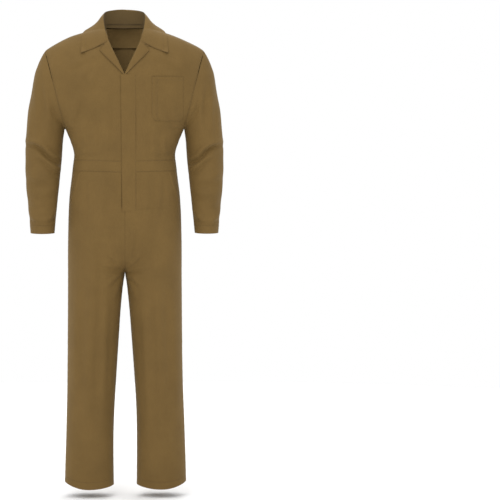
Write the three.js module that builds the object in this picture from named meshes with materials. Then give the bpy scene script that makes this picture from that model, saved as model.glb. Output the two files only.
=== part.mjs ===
// A men's work coverall, worn as a beekeeping suit: one zipped garment with a notched camp collar,
// a covered front zip, an action back, an elasticated waist, a chest pocket and a hip pocket.
// Millimetres, +Z up. The suit faces -Y and the wearer's left is +X. Heights below are measured up
// from the trouser hems, and the finished group is lowered so that its origin is the neck hang point.
import * as THREE from "three";

// ---- Driving dimensions -------------------------------------------------------------------
const CLOTH = 1.6; // one layer of cloth with its seam allowances
const GAP = 0.5; // clearance kept at every seam
const HANG_HEIGHT = 1590; // neck hang point above the hems
const HEM_WIDTH = 26;
const CUFF_WIDTH = 28;

const CROTCH_HEIGHT = 742;
const HIP_AXIS_HEIGHT = 835;
const KNEE_HEIGHT = 420;
const WAIST_SEAM_HEIGHT = 1092;
const WAISTBAND_TOP = 1130;
const UNDERARM_HEIGHT = 1236;
const UNDERARM_HALF = 203;
const V_HEIGHT = 1418; // bottom of the neck opening
const NECK_HALF = 70; // half width of the neck opening at the shoulder seam
const NECK_SIDE_HEIGHT = 1583;
const NECK_BACK_DEPTH = 64; // how far the neck seam sits back from the shoulder seams
const SHOULDER_HALF = 272; // half width across the dropped shoulder seams
const SHOULDER_TIP_HEIGHT = 1500;
const PELVIS_BOTTOM = 900; // cloth below this swings with the legs
const THIGH_TOP = 668;
const KNEE_REACH = 92; // how far the soft knee reaches above and below its axis
const ELBOW_HEIGHT = 1140;
const ELBOW_REACH = 72;
const CUFF_HEIGHT = 880;

const ZIP_BOTTOM = 952;
const ZIP_TOP = V_HEIGHT - 22;
const ZIP_RECESS = 13; // how far the zip lies behind the cloth front
const TAPE_WIDTH = 14;
const TAPE_THICKNESS = 0.9;
const CHAIN_WIDTH = 2.6; // one row of teeth
const CHAIN_SPLIT = 0.7; // half the space between the rows, where the slider's post runs
const CHAIN_THICKNESS = 2.4;
const SLIDER = { width: 10.4, length: 13, depth: 6.4, wall: 1.3, post: 0.6 };
const PULL = { width: 6, length: 22, thickness: 1.6, eye: 2.2 };
const FLY_LAP = 13.5; // how far the fly's free edge laps past the centre
const FLY_ROOT = 38; // its sewn edge, on the wearer's left

const PLEAT_UNDERLAY = 20;
const PLEAT_TUCK = 5; // how far the folded-under cloth lies inside
const LEAF_LIFT = 4.4; // collar and lapels lie this far above the cloth they fold onto
const POCKET_LIFT = 3.4;
const CHEST_POCKET = { inner: 91, outer: 200, bottom: 1260, top: 1411, corner: 14 };
const HIP_POCKET = { inner: 64, outer: 166, bottom: 806, top: 966, corner: 14 };
const SIDE_POCKET = { top: 1086, bottom: 962, bag: 940, reach: 78, depth: 6 };
const ELASTIC = { width: 30, thickness: 1.2 };

// ---- Small maths --------------------------------------------------------------------------
const clamp = (v, lo, hi) => Math.min(hi, Math.max(lo, v));
const mix = (a, b, t) => a + (b - a) * t;
const smooth = (t) => {
  const c = clamp(t, 0, 1);
  return c * c * (3 - 2 * c);
};

// Smooth curve through hand-set stations [[position, value], ...], rising positions.
function through(stations, at) {
  const last = stations.length - 1;
  if (at <= stations[0][0]) return stations[0][1];
  if (at >= stations[last][0]) return stations[last][1];
  const i = stations.findIndex((s, k) => k < last && at < stations[k + 1][0]);
  const slope = (k) => {
    const a = stations[Math.max(0, k - 1)];
    const b = stations[Math.min(last, k + 1)];
    return (b[1] - a[1]) / (b[0] - a[0]);
  };
  const [x0, y0] = stations[i];
  const [x1, y1] = stations[i + 1];
  const h = x1 - x0;
  const t = (at - x0) / h;
  const rise = (2 * t - 3) * t * t + 1;
  const fall = (3 - 2 * t) * t * t;
  return rise * y0 + fall * y1 + t * (1 - t) * h * ((1 - t) * slope(i) - t * slope(i + 1));
}

// Evenly spaced values from a to b.
const steps = (a, b, count) => Array.from({ length: count + 1 }, (_, i) => mix(a, b, i / count));

// ---- The body form that every panel follows ----------------------------------------------------
const FRONT_AT_ZIP_BOTTOM = 116.5; // the centre front is one straight line between these two,
const FRONT_AT_ZIP_TOP = 122.6; // so that the slider can run down it
const HALF_WIDTH = [
  [CROTCH_HEIGHT, 195],
  [900, 193],
  [1000, 189],
  [WAIST_SEAM_HEIGHT, 179],
  [1150, 174],
  [1190, 185],
  [UNDERARM_HEIGHT, UNDERARM_HALF],
];
const FRONT_DEPTH = [
  [CROTCH_HEIGHT, 112],
  [ZIP_BOTTOM, FRONT_AT_ZIP_BOTTOM],
  [UNDERARM_HEIGHT, 120.6],
  [1330, 122.6],
  [1396, 127],
];
const BACK_DEPTH = [
  [CROTCH_HEIGHT, 128],
  [880, 132],
  [1000, 116],
  [1110, 98],
  [UNDERARM_HEIGHT, 122],
  [1350, 130],
];
const RING_POWER = 2.3; // fullness of the body's cross-section

// Depth share left at distance x from the centre of a ring of half width a.
const fullness = (x, a, power) => Math.pow(Math.max(0, 1 - Math.pow(Math.abs(x) / a, power)), 1 / power);

// Height of the shoulder seam at distance x from the centre.
function shoulderHeight(x) {
  const t = Math.max(0, Math.abs(x) - NECK_HALF) / (SHOULDER_HALF - NECK_HALF);
  const line = mix(NECK_SIDE_HEIGHT, SHOULDER_TIP_HEIGHT, t);
  return line + 17 * Math.sin(Math.PI * clamp(t, 0, 1)) ** 0.9 * (0.35 + 0.65 * clamp(t, 0, 1));
}

// Depth of the cloth at (x, z) on the bodice; side is -1 for the front and +1 for the back.
function bodiceDepth(x, z, side) {
  const depth = through(side < 0 ? FRONT_DEPTH : BACK_DEPTH, z);
  if (z <= UNDERARM_HEIGHT) return side * depth * fullness(x, through(HALF_WIDTH, z), RING_POWER);
  const spread = UNDERARM_HALF + (SHOULDER_HALF + 15 - UNDERARM_HALF) * smooth((z - UNDERARM_HEIGHT + 14) / 120);
  const rise = clamp((z - UNDERARM_HEIGHT) / (shoulderHeight(x) - UNDERARM_HEIGHT), 0, 1);
  const atNeck = side < 0 ? 0 : NECK_BACK_DEPTH * fullness(Math.min(Math.abs(x), NECK_HALF), NECK_HALF, 2);
  return side * mix(atNeck, depth * fullness(x, spread, RING_POWER), fullness(rise, 1, side < 0 ? 3 : 2.6));
}

// Half width of the neck opening at height z.
const neckEdge = (z) =>
  through([[V_HEIGHT, 0], [1494, 36], [1541, 58], [NECK_SIDE_HEIGHT, NECK_HALF], [1622, 70]], z);

// Distance of the armhole seam from the centre at height z, in front and behind.
function armhole(z, side) {
  const t = (z - UNDERARM_HEIGHT) / (SHOULDER_TIP_HEIGHT - UNDERARM_HEIGHT);
  const straight = mix(UNDERARM_HALF, SHOULDER_HALF, t);
  const hollow = side < 0 ? 2 : 16;
  return straight - hollow * Math.sin(Math.PI * t);
}

// Distance of the action pleat from the centre at height z.
const pleat = (z) => through([[WAISTBAND_TOP, 137], [1228, 142], [1340, 153], [1420, 166], [1548, 190]], z);

// A point of the bodice: across runs from the inner edge (0) to the side or armhole (1), up from the
// waistband (0) to the underarm (1), the bottom of the neck opening (2) and the shoulder seam (3).
function bodicePoint(across, up, side, inner) {
  if (up <= 1) {
    const z = mix(WAISTBAND_TOP, UNDERARM_HEIGHT, up);
    const x = mix(inner(z), through(HALF_WIDTH, z), across);
    return new THREE.Vector3(x, bodiceDepth(x, z, side), z);
  }
  const z0 = up <= 2 ? UNDERARM_HEIGHT : V_HEIGHT;
  const inTop = up <= 2 ? V_HEIGHT : shoulderHeight(Math.max(NECK_HALF, inner(NECK_SIDE_HEIGHT)));
  const outTop = up <= 2 ? V_HEIGHT : SHOULDER_TIP_HEIGHT;
  const t = up <= 2 ? up - 1 : up - 2;
  const zIn = mix(z0, inTop, t);
  const zOut = mix(z0, outTop, t);
  const x = mix(inner(zIn), armhole(zOut, side), across);
  const zLine = up <= 2 ? mix(zIn, zOut, across) : mix(V_HEIGHT, shoulderHeight(x), t);
  return new THREE.Vector3(x, bodiceDepth(x, zLine, side), zLine);
}

// ---- The trouser form -----------------------------------------------------------------------
const LEG_OUTER = [[0, 208], [70, 207], [200, 203], [400, 197], [CROTCH_HEIGHT, 195]];
const LEG_INNER = [[0, 41], [200, 41], [407, 31], [579, 20], [690, 8], [CROTCH_HEIGHT, 0]];
const LEG_DEPTH = [[0, 74], [250, 79], [440, 86], [600, 98], [CROTCH_HEIGHT, 108]];
const LEG_CENTRE = [[0, 10], [300, 8], [450, 0], [600, 4], [CROTCH_HEIGHT, 8]];
const FORK_RISE = 150; // height over which the seat divides into two legs

// A point of the left half of the trousers: turn runs from the centre front or inseam (0) over the
// side seam (0.5) to the centre back (1).
function trouserPoint(turn, z) {
  const angle = Math.PI * turn;
  const power = 2 / RING_POWER;
  const halfWidth = through(HALF_WIDTH, z);
  const depth = through(turn < 0.5 ? FRONT_DEPTH : BACK_DEPTH, z);
  const seat = new THREE.Vector2(
    halfWidth * Math.pow(Math.sin(angle), power),
    -Math.sign(Math.cos(angle)) * depth * Math.pow(Math.abs(Math.cos(angle)), power),
  );
  const outer = through(LEG_OUTER, z);
  const inner = through(LEG_INNER, z);
  const leg = new THREE.Vector2(
    mix(inner, outer, 0.5) - ((outer - inner) / 2) * Math.cos(2 * angle),
    through(LEG_CENTRE, z) - through(LEG_DEPTH, z) * Math.sin(2 * angle),
  );
  const rise = clamp((z - CROTCH_HEIGHT) / FORK_RISE, 0, 1);
  const fork = 1 - Math.sqrt(1 - (1 - rise) * (1 - rise));
  const inward = Math.pow(Math.abs(Math.cos(angle)), 4);
  const split = mix(1 - smooth(rise), fork, inward);
  const at = seat.lerp(leg, split);
  return new THREE.Vector3(Math.max(at.x, 0), at.y, z);
}

// ---- The sleeve form ------------------------------------------------------------------------
// Rings of the sleeve: 0 the armhole, 1 the end of the soft sleeve head, 2 to 4 the elbow, 5 the
// cuff seam, 6 the sleeve's end.
const ELBOW_TOP = ELBOW_HEIGHT + ELBOW_REACH;
const ELBOW_BOTTOM = ELBOW_HEIGHT - ELBOW_REACH;
const CUFF_SEAM = CUFF_HEIGHT + CUFF_WIDTH;
const RING_OUTSIDE = [
  [0, SHOULDER_TIP_HEIGHT], [1, 1330], [2, ELBOW_TOP], [3, ELBOW_HEIGHT], [4, ELBOW_BOTTOM],
  [5, CUFF_SEAM], [6, CUFF_HEIGHT],
];
const RING_INSIDE = [
  [0, UNDERARM_HEIGHT], [1, UNDERARM_HEIGHT - 10], [2, ELBOW_TOP - 3], [3, ELBOW_HEIGHT],
  [4, ELBOW_BOTTOM + 3], [5, CUFF_SEAM], [6, CUFF_HEIGHT],
];
const SLEEVE_OUTER = [ // beyond the shoulder seam
  [880, 49], [992, 60], [1060, 66], [1170, 67], [1232, 62], [1301, 55],
  [1370, 41], [1439, 30], [SHOULDER_TIP_HEIGHT - 13, 12], [SHOULDER_TIP_HEIGHT, 0],
].map(([z, beyond]) => [z, SHOULDER_HALF + beyond]);
const SLEEVE_INNER = [ // beyond the underarm
  [880, 37], [992, 26], [1061, 19], [1130, 12], [1198, 7], [UNDERARM_HEIGHT, 0],
].map(([z, beyond]) => [z, UNDERARM_HALF + beyond]);
const SLEEVE_HALF_DEPTH = [[0, 76], [1, 74], [3, 66], [6, 43]];
const SLEEVE_CENTRE = [[0, 2], [1, 6], [3, 10], [5, -20], [6, -30]]; // the forearm comes forward

// A point of the left sleeve: turn runs from the underarm (0) over the front (0.25), the outside
// (0.5) and the back (0.75); down is the ring.
function sleevePoint(turn, down) {
  const angle = 2 * Math.PI * turn;
  const outside = through(RING_OUTSIDE, down);
  const inside = through(RING_INSIDE, down);
  const along = (1 - Math.cos(angle)) / 2;
  const tube = new THREE.Vector3(
    mix(through(SLEEVE_INNER, inside), through(SLEEVE_OUTER, outside), along),
    through(SLEEVE_CENTRE, down) - through(SLEEVE_HALF_DEPTH, down) * Math.sin(angle),
    mix(inside, outside, along),
  );
  tube.z += through([[4, 0], [6, 0.06]], down) * (tube.y - through(SLEEVE_CENTRE, down));
  const side = Math.sin(angle) >= 0 ? -1 : 1;
  const z = mix(UNDERARM_HEIGHT, SHOULDER_TIP_HEIGHT, along);
  const x = armhole(z, side);
  const seam = new THREE.Vector3(x + 3 * GAP, bodiceDepth(x, z, side), z);
  return seam.lerp(tube, smooth(down));
}

// Draws both ends of a line of points in by the seam clearance. Thicker cloth needs more, because its
// inner face leans across the seam.
const SEAM_DRAW = Math.max(GAP, 0.3125 * CLOTH);
function drawInEnds(line) {
  const last = line.length - 1;
  const moves = [[0, 1], [last, last - 1]].map(([end, next]) =>
    line[next].clone().sub(line[end]).normalize().multiplyScalar(SEAM_DRAW));
  line[0].add(moves[0]);
  line[last].add(moves[1]);
}

// ---- Turning a form into a closed cloth panel -------------------------------------------------
// point(u, v) gives the outer face. Rows run along v. The inner face lies one thickness inside it.
function clothPanel(point, us, vs, thickness = CLOTH, outwards = 1) {
  const grid = vs.map((v) => us.map((u) => point(u, v)));
  for (const row of grid) drawInEnds(row);
  for (let c = 0; c < us.length; c++) drawInEnds(grid.map((row) => row[c]));
  const wide = us.length;
  const tall = vs.length;
  const at = (r, c) => grid[clamp(r, 0, tall - 1)][clamp(c, 0, wide - 1)];
  const outer = [];
  const inner = [];
  for (let r = 0; r < tall; r++) {
    for (let c = 0; c < wide; c++) {
      const across = at(r, c + 1).clone().sub(at(r, c - 1));
      const up = at(r + 1, c).clone().sub(at(r - 1, c));
      const normal = across.cross(up).normalize().multiplyScalar(outwards);
      outer.push(at(r, c));
      inner.push(at(r, c).clone().addScaledVector(normal, -thickness));
    }
  }
  const faces = [];
  const quad = (a, b, c, d) => {
    if (outwards > 0) faces.push(a, b, c, a, c, d);
    else faces.push(a, c, b, a, d, c);
  };
  const far = wide * tall;
  for (let r = 0; r < tall - 1; r++) {
    for (let c = 0; c < wide - 1; c++) {
      const i = r * wide + c;
      quad(i, i + 1, i + wide + 1, i + wide);
      quad(far + i, far + i + wide, far + i + wide + 1, far + i + 1);
    }
  }
  for (let c = 0; c < wide - 1; c++) {
    const top = (tall - 1) * wide + c;
    quad(c, far + c, far + c + 1, c + 1);
    quad(top, top + 1, far + top + 1, far + top);
  }
  for (let r = 0; r < tall - 1; r++) {
    const left = r * wide;
    const right = left + wide - 1;
    quad(left, left + wide, far + left + wide, far + left);
    quad(right, far + right, far + right + wide, right + wide);
  }
  return geometryOf([...outer, ...inner], faces);
}

// A closed tube of cloth: turn goes all the way round.
function clothTube(point, turns, vs, thickness = CLOTH) {
  const tall = vs.length;
  const grid = vs.map((v) => steps(0, 1, turns).slice(0, -1).map((u) => point(u, v)));
  for (let c = 0; c < turns; c++) drawInEnds(grid.map((row) => row[c]));
  const at = (r, c) => grid[clamp(r, 0, tall - 1)][(c + turns) % turns];
  const outer = [];
  const inner = [];
  for (let r = 0; r < tall; r++) {
    for (let c = 0; c < turns; c++) {
      const across = at(r, c + 1).clone().sub(at(r, c - 1));
      const down = at(r + 1, c).clone().sub(at(r - 1, c));
      const normal = down.cross(across).normalize();
      outer.push(at(r, c));
      inner.push(at(r, c).clone().addScaledVector(normal, -thickness));
    }
  }
  const far = turns * tall;
  const faces = [];
  const quad = (a, b, c, d) => faces.push(a, b, c, a, c, d);
  for (let c = 0; c < turns; c++) {
    const next = (c + 1) % turns;
    for (let r = 0; r < tall - 1; r++) {
      const row = r * turns;
      const below = row + turns;
      quad(row + c, below + c, below + next, row + next);
      quad(far + row + c, far + row + next, far + below + next, far + below + c);
    }
    const end = (tall - 1) * turns;
    quad(c, next, far + next, far + c);
    quad(end + c, far + end + c, far + end + next, end + next);
  }
  return geometryOf([...outer, ...inner], faces);
}

function geometryOf(points, faces) {
  const geometry = new THREE.BufferGeometry().setFromPoints(points);
  geometry.setIndex(faces);
  geometry.computeVertexNormals();
  return geometry;
}

// ---- Materials and the scene graph ----------------------------------------------------------
const material = (color, roughness, metalness = 0) =>
  new THREE.MeshStandardMaterial({ color, roughness, metalness });
const TWILL = material(0x7a6138, 0.85);
const TWILL_INSIDE = material(0x5a4829, 0.9);
const RIB = material(0x70582f, 0.9);
const TAPE = material(0x66512c, 0.8);
const BRASS = material(0x9a7a3a, 0.35, 0.9);

const suit = new THREE.Group();
const body = new THREE.Group();
body.position.z = -HANG_HEIGHT;
suit.add(body);

function add(name, geometry, look = TWILL) {
  const mesh = new THREE.Mesh(geometry, look);
  mesh.name = name;
  body.add(mesh);
  return mesh;
}

// Adds a panel for the wearer's left and its mirror image for the right.
function addPair(name, make, look = TWILL) {
  add(`left_${name}`, make(1), look);
  add(`right_${name}`, make(-1), look);
}

// The same form on the wearer's left (+1) or right (-1).
const onSide = (point, hand) => (u, v) => {
  const p = point(u, v);
  return new THREE.Vector3(p.x * hand, p.y, p.z);
};

// Moves a sheet off its form, outwards to the front (side -1) or the back (side +1).
const lifted = (point, side, lift) => (u, v) => point(u, v).add(new THREE.Vector3(0, side * lift, 0));

// ---- Bodice -------------------------------------------------------------------------------
const BODICE_ROWS = [0, 0.5, 1, 1.34, 1.67, 2, 2.35, 2.7, 2.88, 2.96, 2.99, 3];

// The front edges stand apart over the zip: out to the fly's root on the left, under its free edge
// on the right. Each edge is turned back and sewn down on its tape.
const TAPE_INNER = CHAIN_SPLIT + CHAIN_WIDTH + GAP;
const edgeAt = (hand) => (hand > 0 ? FLY_ROOT : FLY_LAP + 2 * GAP);
const frontInner = (hand) => (z) => Math.max(neckEdge(z), edgeAt(hand));
const zipFront = (z) => -mix(FRONT_AT_ZIP_BOTTOM, FRONT_AT_ZIP_TOP, (z - ZIP_BOTTOM) / (ZIP_TOP - ZIP_BOTTOM));

// The turned-back edge: first the fold just behind the fly (fold 1), then the end on the tape
// (fold 2). Above the zip it is only a narrow turning along the neck.
function turnedEdge(fold, edge, hand) {
  const behindFly = zipFront(edge.z) + 2 * CLOTH + 3 * GAP;
  const onTape = zipFront(edge.z) + ZIP_RECESS - TAPE_THICKNESS / 2 - 3 * GAP - CLOTH;
  const nearFly = edgeAt(hand) - GAP;
  const overTape = TAPE_INNER + TAPE_WIDTH - (hand > 0 ? 5 : 8);
  const folded = new THREE.Vector3(fold > 1 ? overTape : nearFly, fold > 1 ? onTape : behindFly, edge.z);
  const turned = new THREE.Vector3(edge.x - 1.2 * fold, edge.y + 3 * fold, edge.z);
  return folded.lerp(turned, smooth((edge.z - ZIP_TOP) / (V_HEIGHT - ZIP_TOP)));
}
const TURNED = [-2, -1]; // columns of the turned-back edge, before the edge itself at 0

function frontBodice(hand) {
  const point = (u, v) => {
    const p = bodicePoint(Math.max(0, u), v, -1, frontInner(hand));
    return u < 0 ? turnedEdge(-u, p, hand) : p;
  };
  return clothPanel(onSide(point, hand), [...TURNED, ...steps(0, 1, 7)], BODICE_ROWS, CLOTH, hand);
}

function centreBackPoint(u, v) {
  const edge = bodicePoint(0, v, 1, pleat);
  const x = edge.x * u;
  const z = v <= 2 ? edge.z : mix(V_HEIGHT, shoulderHeight(Math.max(Math.abs(x), NECK_HALF)), v - 2);
  return new THREE.Vector3(x, bodiceDepth(x, z, 1), z);
}
const BACK_COLUMNS = [0, 0.18, 0.368, 0.62, 0.86, 1];

function centreBack() {
  const columns = [...BACK_COLUMNS.slice(1).map((u) => -u).reverse(), ...BACK_COLUMNS];
  return clothPanel(centreBackPoint, columns, BODICE_ROWS, CLOTH, -1);
}

// The facing that finishes the back neck on the inside.
function neckFacing() {
  const point = (u, v) => centreBackPoint(u, v).add(new THREE.Vector3(0, -2 * CLOTH - GAP, -CLOTH - GAP));
  const columns = [-BACK_COLUMNS[2], -BACK_COLUMNS[1], 0, BACK_COLUMNS[1], BACK_COLUMNS[2]];
  return clothPanel(point, columns, BODICE_ROWS.slice(-5), CLOTH, -1);
}

function sideBack(hand) {
  const columns = [0, 1, 2, 3, 4.5, 6];
  const point = (u, v) => {
    const start = bodicePoint(0, v, 1, pleat);
    if (u <= 2) {
      const x = start.x + [-PLEAT_UNDERLAY, 1, 11][Math.round(u)];
      const z = v <= 2 ? start.z : mix(V_HEIGHT, shoulderHeight(x), v - 2);
      const tuck = [PLEAT_TUCK, PLEAT_TUCK, 0][Math.round(u)];
      const top = Math.max(0, v - 2);
      return new THREE.Vector3(x, bodiceDepth(x, z, 1) - tuck * (1 - 0.6 * top), z - 1.2 * tuck * top);
    }
    const share = (u - 2) / 4;
    const edge = bodicePoint(1, v, 1, pleat);
    const x = mix(start.x + 11, edge.x, share);
    const z = v <= 2 ? start.z : mix(V_HEIGHT, shoulderHeight(x), v - 2);
    return new THREE.Vector3(x, bodiceDepth(x, z, 1), z);
  };
  return clothPanel(onSide(point, hand), columns, BODICE_ROWS, CLOTH, -hand);
}

addPair("front_bodice", frontBodice);
add("centre_back", centreBack());
addPair("side_back", sideBack);
add("neck_facing", neckFacing(), TWILL_INSIDE);

// ---- Waistband and elastic ------------------------------------------------------------------
const bandPoint = (turn, z) => trouserPoint(turn, z);

const ringFront = (x, z) => -through(FRONT_DEPTH, z) * fullness(x, through(HALF_WIDTH, z), RING_POWER);

function frontWaistband(hand) {
  const point = (u, z) => {
    const x = mix(edgeAt(hand), bandPoint(0.5, z).x, Math.sin((Math.max(0, u) * Math.PI) / 2));
    const p = new THREE.Vector3(x, ringFront(x, z), z);
    return u < 0 ? turnedEdge(-u, p, hand) : p;
  };
  return clothPanel(onSide(point, hand), [...TURNED, ...steps(0, 1, 7)], [WAIST_SEAM_HEIGHT, WAISTBAND_TOP], CLOTH, hand);
}

function backWaistband() {
  const point = (u, z) => {
    const p = bandPoint(1 - Math.abs(u) / 2, z);
    return new THREE.Vector3(p.x * Math.sign(u), p.y, p.z);
  };
  return clothPanel(point, steps(-1, 1, 12), [WAIST_SEAM_HEIGHT, WAISTBAND_TOP], CLOTH, -1);
}

function waistElastic(hand) {
  const middle = (WAIST_SEAM_HEIGHT + WAISTBAND_TOP) / 2;
  const point = (turn, z) => {
    const p = bandPoint(turn, z);
    const inwards = new THREE.Vector2(p.x, p.y).normalize().multiplyScalar(2 * CLOTH + 4 * GAP);
    return new THREE.Vector3(p.x - inwards.x, p.y - inwards.y, z);
  };
  const rows = [middle - ELASTIC.width / 2, middle + ELASTIC.width / 2];
  return clothPanel(onSide(point, hand), steps(0.56, 0.72, 3), rows, ELASTIC.thickness, hand);
}

addPair("front_waistband", frontWaistband);
add("back_waistband", backWaistband());
addPair("waist_elastic", waistElastic, RIB);

// ---- Trousers -----------------------------------------------------------------------------
const FORK_ROWS = [THIGH_TOP, 712, 738, 746, 760, 790, 840, PELVIS_BOTTOM];

function frontHip(hand) {
  const opening = (z) => smooth((z - ZIP_BOTTOM + 12) / 12);
  const point = (u, z) => {
    const open = opening(z);
    const edge = mix(0.01, edgeAt(hand), open);
    const x = mix(edge, trouserPoint(0.5, z).x, Math.sin((Math.max(0, u) * Math.PI) / 2));
    const p = new THREE.Vector3(x, ringFront(x, z), z);
    if (u >= 0) return p;
    const closed = new THREE.Vector3(p.x + 1.2, p.y - 3 * u, z);
    return turnedEdge(-u, p, hand).lerp(closed, 1 - open);
  };
  const rows = [PELVIS_BOTTOM, 925, ZIP_BOTTOM - 12, ZIP_BOTTOM, 1010, WAIST_SEAM_HEIGHT];
  return clothPanel(onSide(point, hand), [...TURNED, ...steps(0, 1, 8)], rows, CLOTH, hand);
}

const backHip = (hand) =>
  clothPanel(onSide(trouserPoint, hand), steps(0.5, 1, 6), [PELVIS_BOTTOM, 960, 1030, WAIST_SEAM_HEIGHT], CLOTH, hand);
const legPanel = (from, to, columns, rows) => (hand) =>
  clothPanel(onSide(trouserPoint, hand), steps(from, to, columns), rows, CLOTH, hand);

const KNEE_TOP = KNEE_HEIGHT + KNEE_REACH;
const KNEE_BOTTOM = KNEE_HEIGHT - KNEE_REACH;
addPair("front_hip", frontHip);
addPair("back_hip", backHip);
addPair("front_fork", legPanel(0, 0.5, 7, FORK_ROWS));
addPair("back_fork", legPanel(0.5, 1, 7, FORK_ROWS));
addPair("front_thigh", legPanel(0, 0.5, 7, [KNEE_TOP, 580, THIGH_TOP]));
addPair("back_thigh", legPanel(0.5, 1, 7, [KNEE_TOP, 580, THIGH_TOP]));
addPair("knee", legPanel(0, 1, 14, [KNEE_BOTTOM, KNEE_HEIGHT, KNEE_TOP]));
addPair("front_shin", legPanel(0, 0.5, 7, [HEM_WIDTH, 180, KNEE_BOTTOM]));
addPair("back_shin", legPanel(0.5, 1, 7, [HEM_WIDTH, 180, KNEE_BOTTOM]));

function legHem(hand) {
  const point = (turn, z) => trouserPoint(turn, Math.min(z, HEM_WIDTH));
  const band = (turn, z) => onSide(point, hand)((hand > 0 ? 1 - turn : turn), z);
  return clothTube(band, 14, [HEM_WIDTH, 0]);
}
addPair("leg_hem", legHem);

// ---- Sleeves ------------------------------------------------------------------------------
const sleeve = (rows, turns = 12) => (hand) => {
  const point = (turn, down) => onSide(sleevePoint, hand)(hand > 0 ? turn : 1 - turn, down);
  return clothTube(point, turns, rows);
};
addPair("sleeve_head", sleeve([0, 0.25, 0.5, 0.75, 1]));
addPair("upper_sleeve", sleeve([1, 2]));
addPair("elbow", sleeve([2, 3, 4]));
addPair("lower_sleeve", sleeve([4, 4.5, 5]));
addPair("cuff", sleeve([5, 6]));

// ---- Collar and lapels ----------------------------------------------------------------------
// Each line of the collar runs from the gorge (0) round the neck to the centre back (1).
function neckLine(points) {
  const left = points.map((p) => new THREE.Vector3(...p));
  const right = left.slice(0, -1).reverse().map((p) => new THREE.Vector3(-p.x, p.y, p.z));
  const curve = new THREE.CatmullRomCurve3([...left, ...right]);
  return (share) => curve.getPoint(share / 2);
}
const rollLine = neckLine([[58, -76, 1541], [67, -52, 1580], [71, -12, 1620], [58, 44, 1640], [0, 70, 1647]]);
const neckSeam = neckLine([[53, -74, 1540], [62, -46, 1568], [69, 0, 1588], [57, 44, 1590], [0, 67, 1590]]);
const leafEdge = neckLine([[151, -104, 1490], [147, -56, 1550], [133, -4, 1578], [100, 56, 1580], [0, 92, 1592]]);

// Half of the collar: share runs from the gorge to the centre back.
function leafPoint(share, fall) {
  const roll = rollLine(share);
  const edge = leafEdge(share);
  const p = roll.clone().lerp(edge, fall);
  const below = shoulderHeight(p.x) - p.z;
  if (below > 0 && p.y < 0) {
    const lift = LEAF_LIFT * Math.min(1, 4 * fall) + 5 * smooth(1 - below / 60);
    p.y = Math.min(p.y, bodiceDepth(p.x, p.z, -1) - lift);
  }
  return p;
}

function collarSheet(point, rows) {
  const whole = (u, v) => {
    const p = point(1 - Math.abs(u), v);
    return new THREE.Vector3(p.x * Math.sign(u || 1), p.y, p.z);
  };
  return clothPanel(whole, steps(-1, 1, 20), rows, CLOTH, -1);
}

function standPoint(share, rise) {
  const seam = neckSeam(share);
  const roll = rollLine(share);
  const p = seam.lerp(roll, rise);
  const inwards = new THREE.Vector2(p.x, p.y + 10).normalize().multiplyScalar(CLOTH + 2 * GAP);
  return new THREE.Vector3(Math.max(0, p.x - inwards.x), p.y - inwards.y, p.z);
}
add("collar_leaf", collarSheet(leafPoint, [1, 0.8, 0.6, 0.4, 0.2, 0.03]));
add("collar_stand", collarSheet(standPoint, [0, 0.5, 0.97]), TWILL_INSIDE);

// A lapel lies between the roll edge and its own outer edge, from the V up to the gorge.
function lapel(hand) {
  const point = (u, v) => {
    const z = mix(V_HEIGHT + 3, 1531, v);
    const rollX = neckEdge(z) + 1;
    const outerZ = mix(V_HEIGHT + 2, 1499, v);
    const outerX = mix(4, 85, v);
    const x = mix(rollX, outerX, u);
    const height = mix(z, outerZ, u);
    return new THREE.Vector3(x, bodiceDepth(x, height, -1) - LEAF_LIFT * (0.62 + 0.38 * u), height);
  };
  return clothPanel(onSide(point, hand), [0, 0.5, 1], steps(0, 1, 5), CLOTH, hand);
}
addPair("lapel", lapel);

// ---- Zip and fly ----------------------------------------------------------------------------
const ZIP_LENGTH = ZIP_TOP - ZIP_BOTTOM;
const zip = new THREE.Group();
zip.position.set(0, zipFront(ZIP_BOTTOM) + ZIP_RECESS, ZIP_BOTTOM);
zip.rotation.x = Math.atan2(-(zipFront(ZIP_TOP) - zipFront(ZIP_BOTTOM)), ZIP_LENGTH);
body.add(zip);

function addToZip(name, geometry, x, y, z, look = BRASS) {
  const mesh = new THREE.Mesh(geometry, look);
  mesh.name = name;
  mesh.position.set(x, y, z);
  zip.add(mesh);
}

for (const [hand, word] of [[1, "left"], [-1, "right"]]) {
  const tape = new THREE.BoxGeometry(TAPE_WIDTH, TAPE_THICKNESS, ZIP_LENGTH);
  addToZip(`${word}_zip_tape`, tape, hand * (TAPE_INNER + TAPE_WIDTH / 2), 0, ZIP_LENGTH / 2, TAPE);
  const chain = new THREE.BoxGeometry(CHAIN_WIDTH, CHAIN_THICKNESS, ZIP_LENGTH - 8);
  addToZip(`${word}_zip_teeth`, chain, hand * (CHAIN_SPLIT + CHAIN_WIDTH / 2), 0, ZIP_LENGTH / 2);
}
const stopDepth = CHAIN_THICKNESS + 0.8;
addToZip("zip_bottom_stop", new THREE.BoxGeometry(2 * CHAIN_WIDTH, stopDepth, 3.2), 0, 0, 2);
addToZip("zip_top_stop", new THREE.BoxGeometry(2 * CHAIN_WIDTH, stopDepth, 3), 0, 0, ZIP_LENGTH - 1.9);

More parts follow.
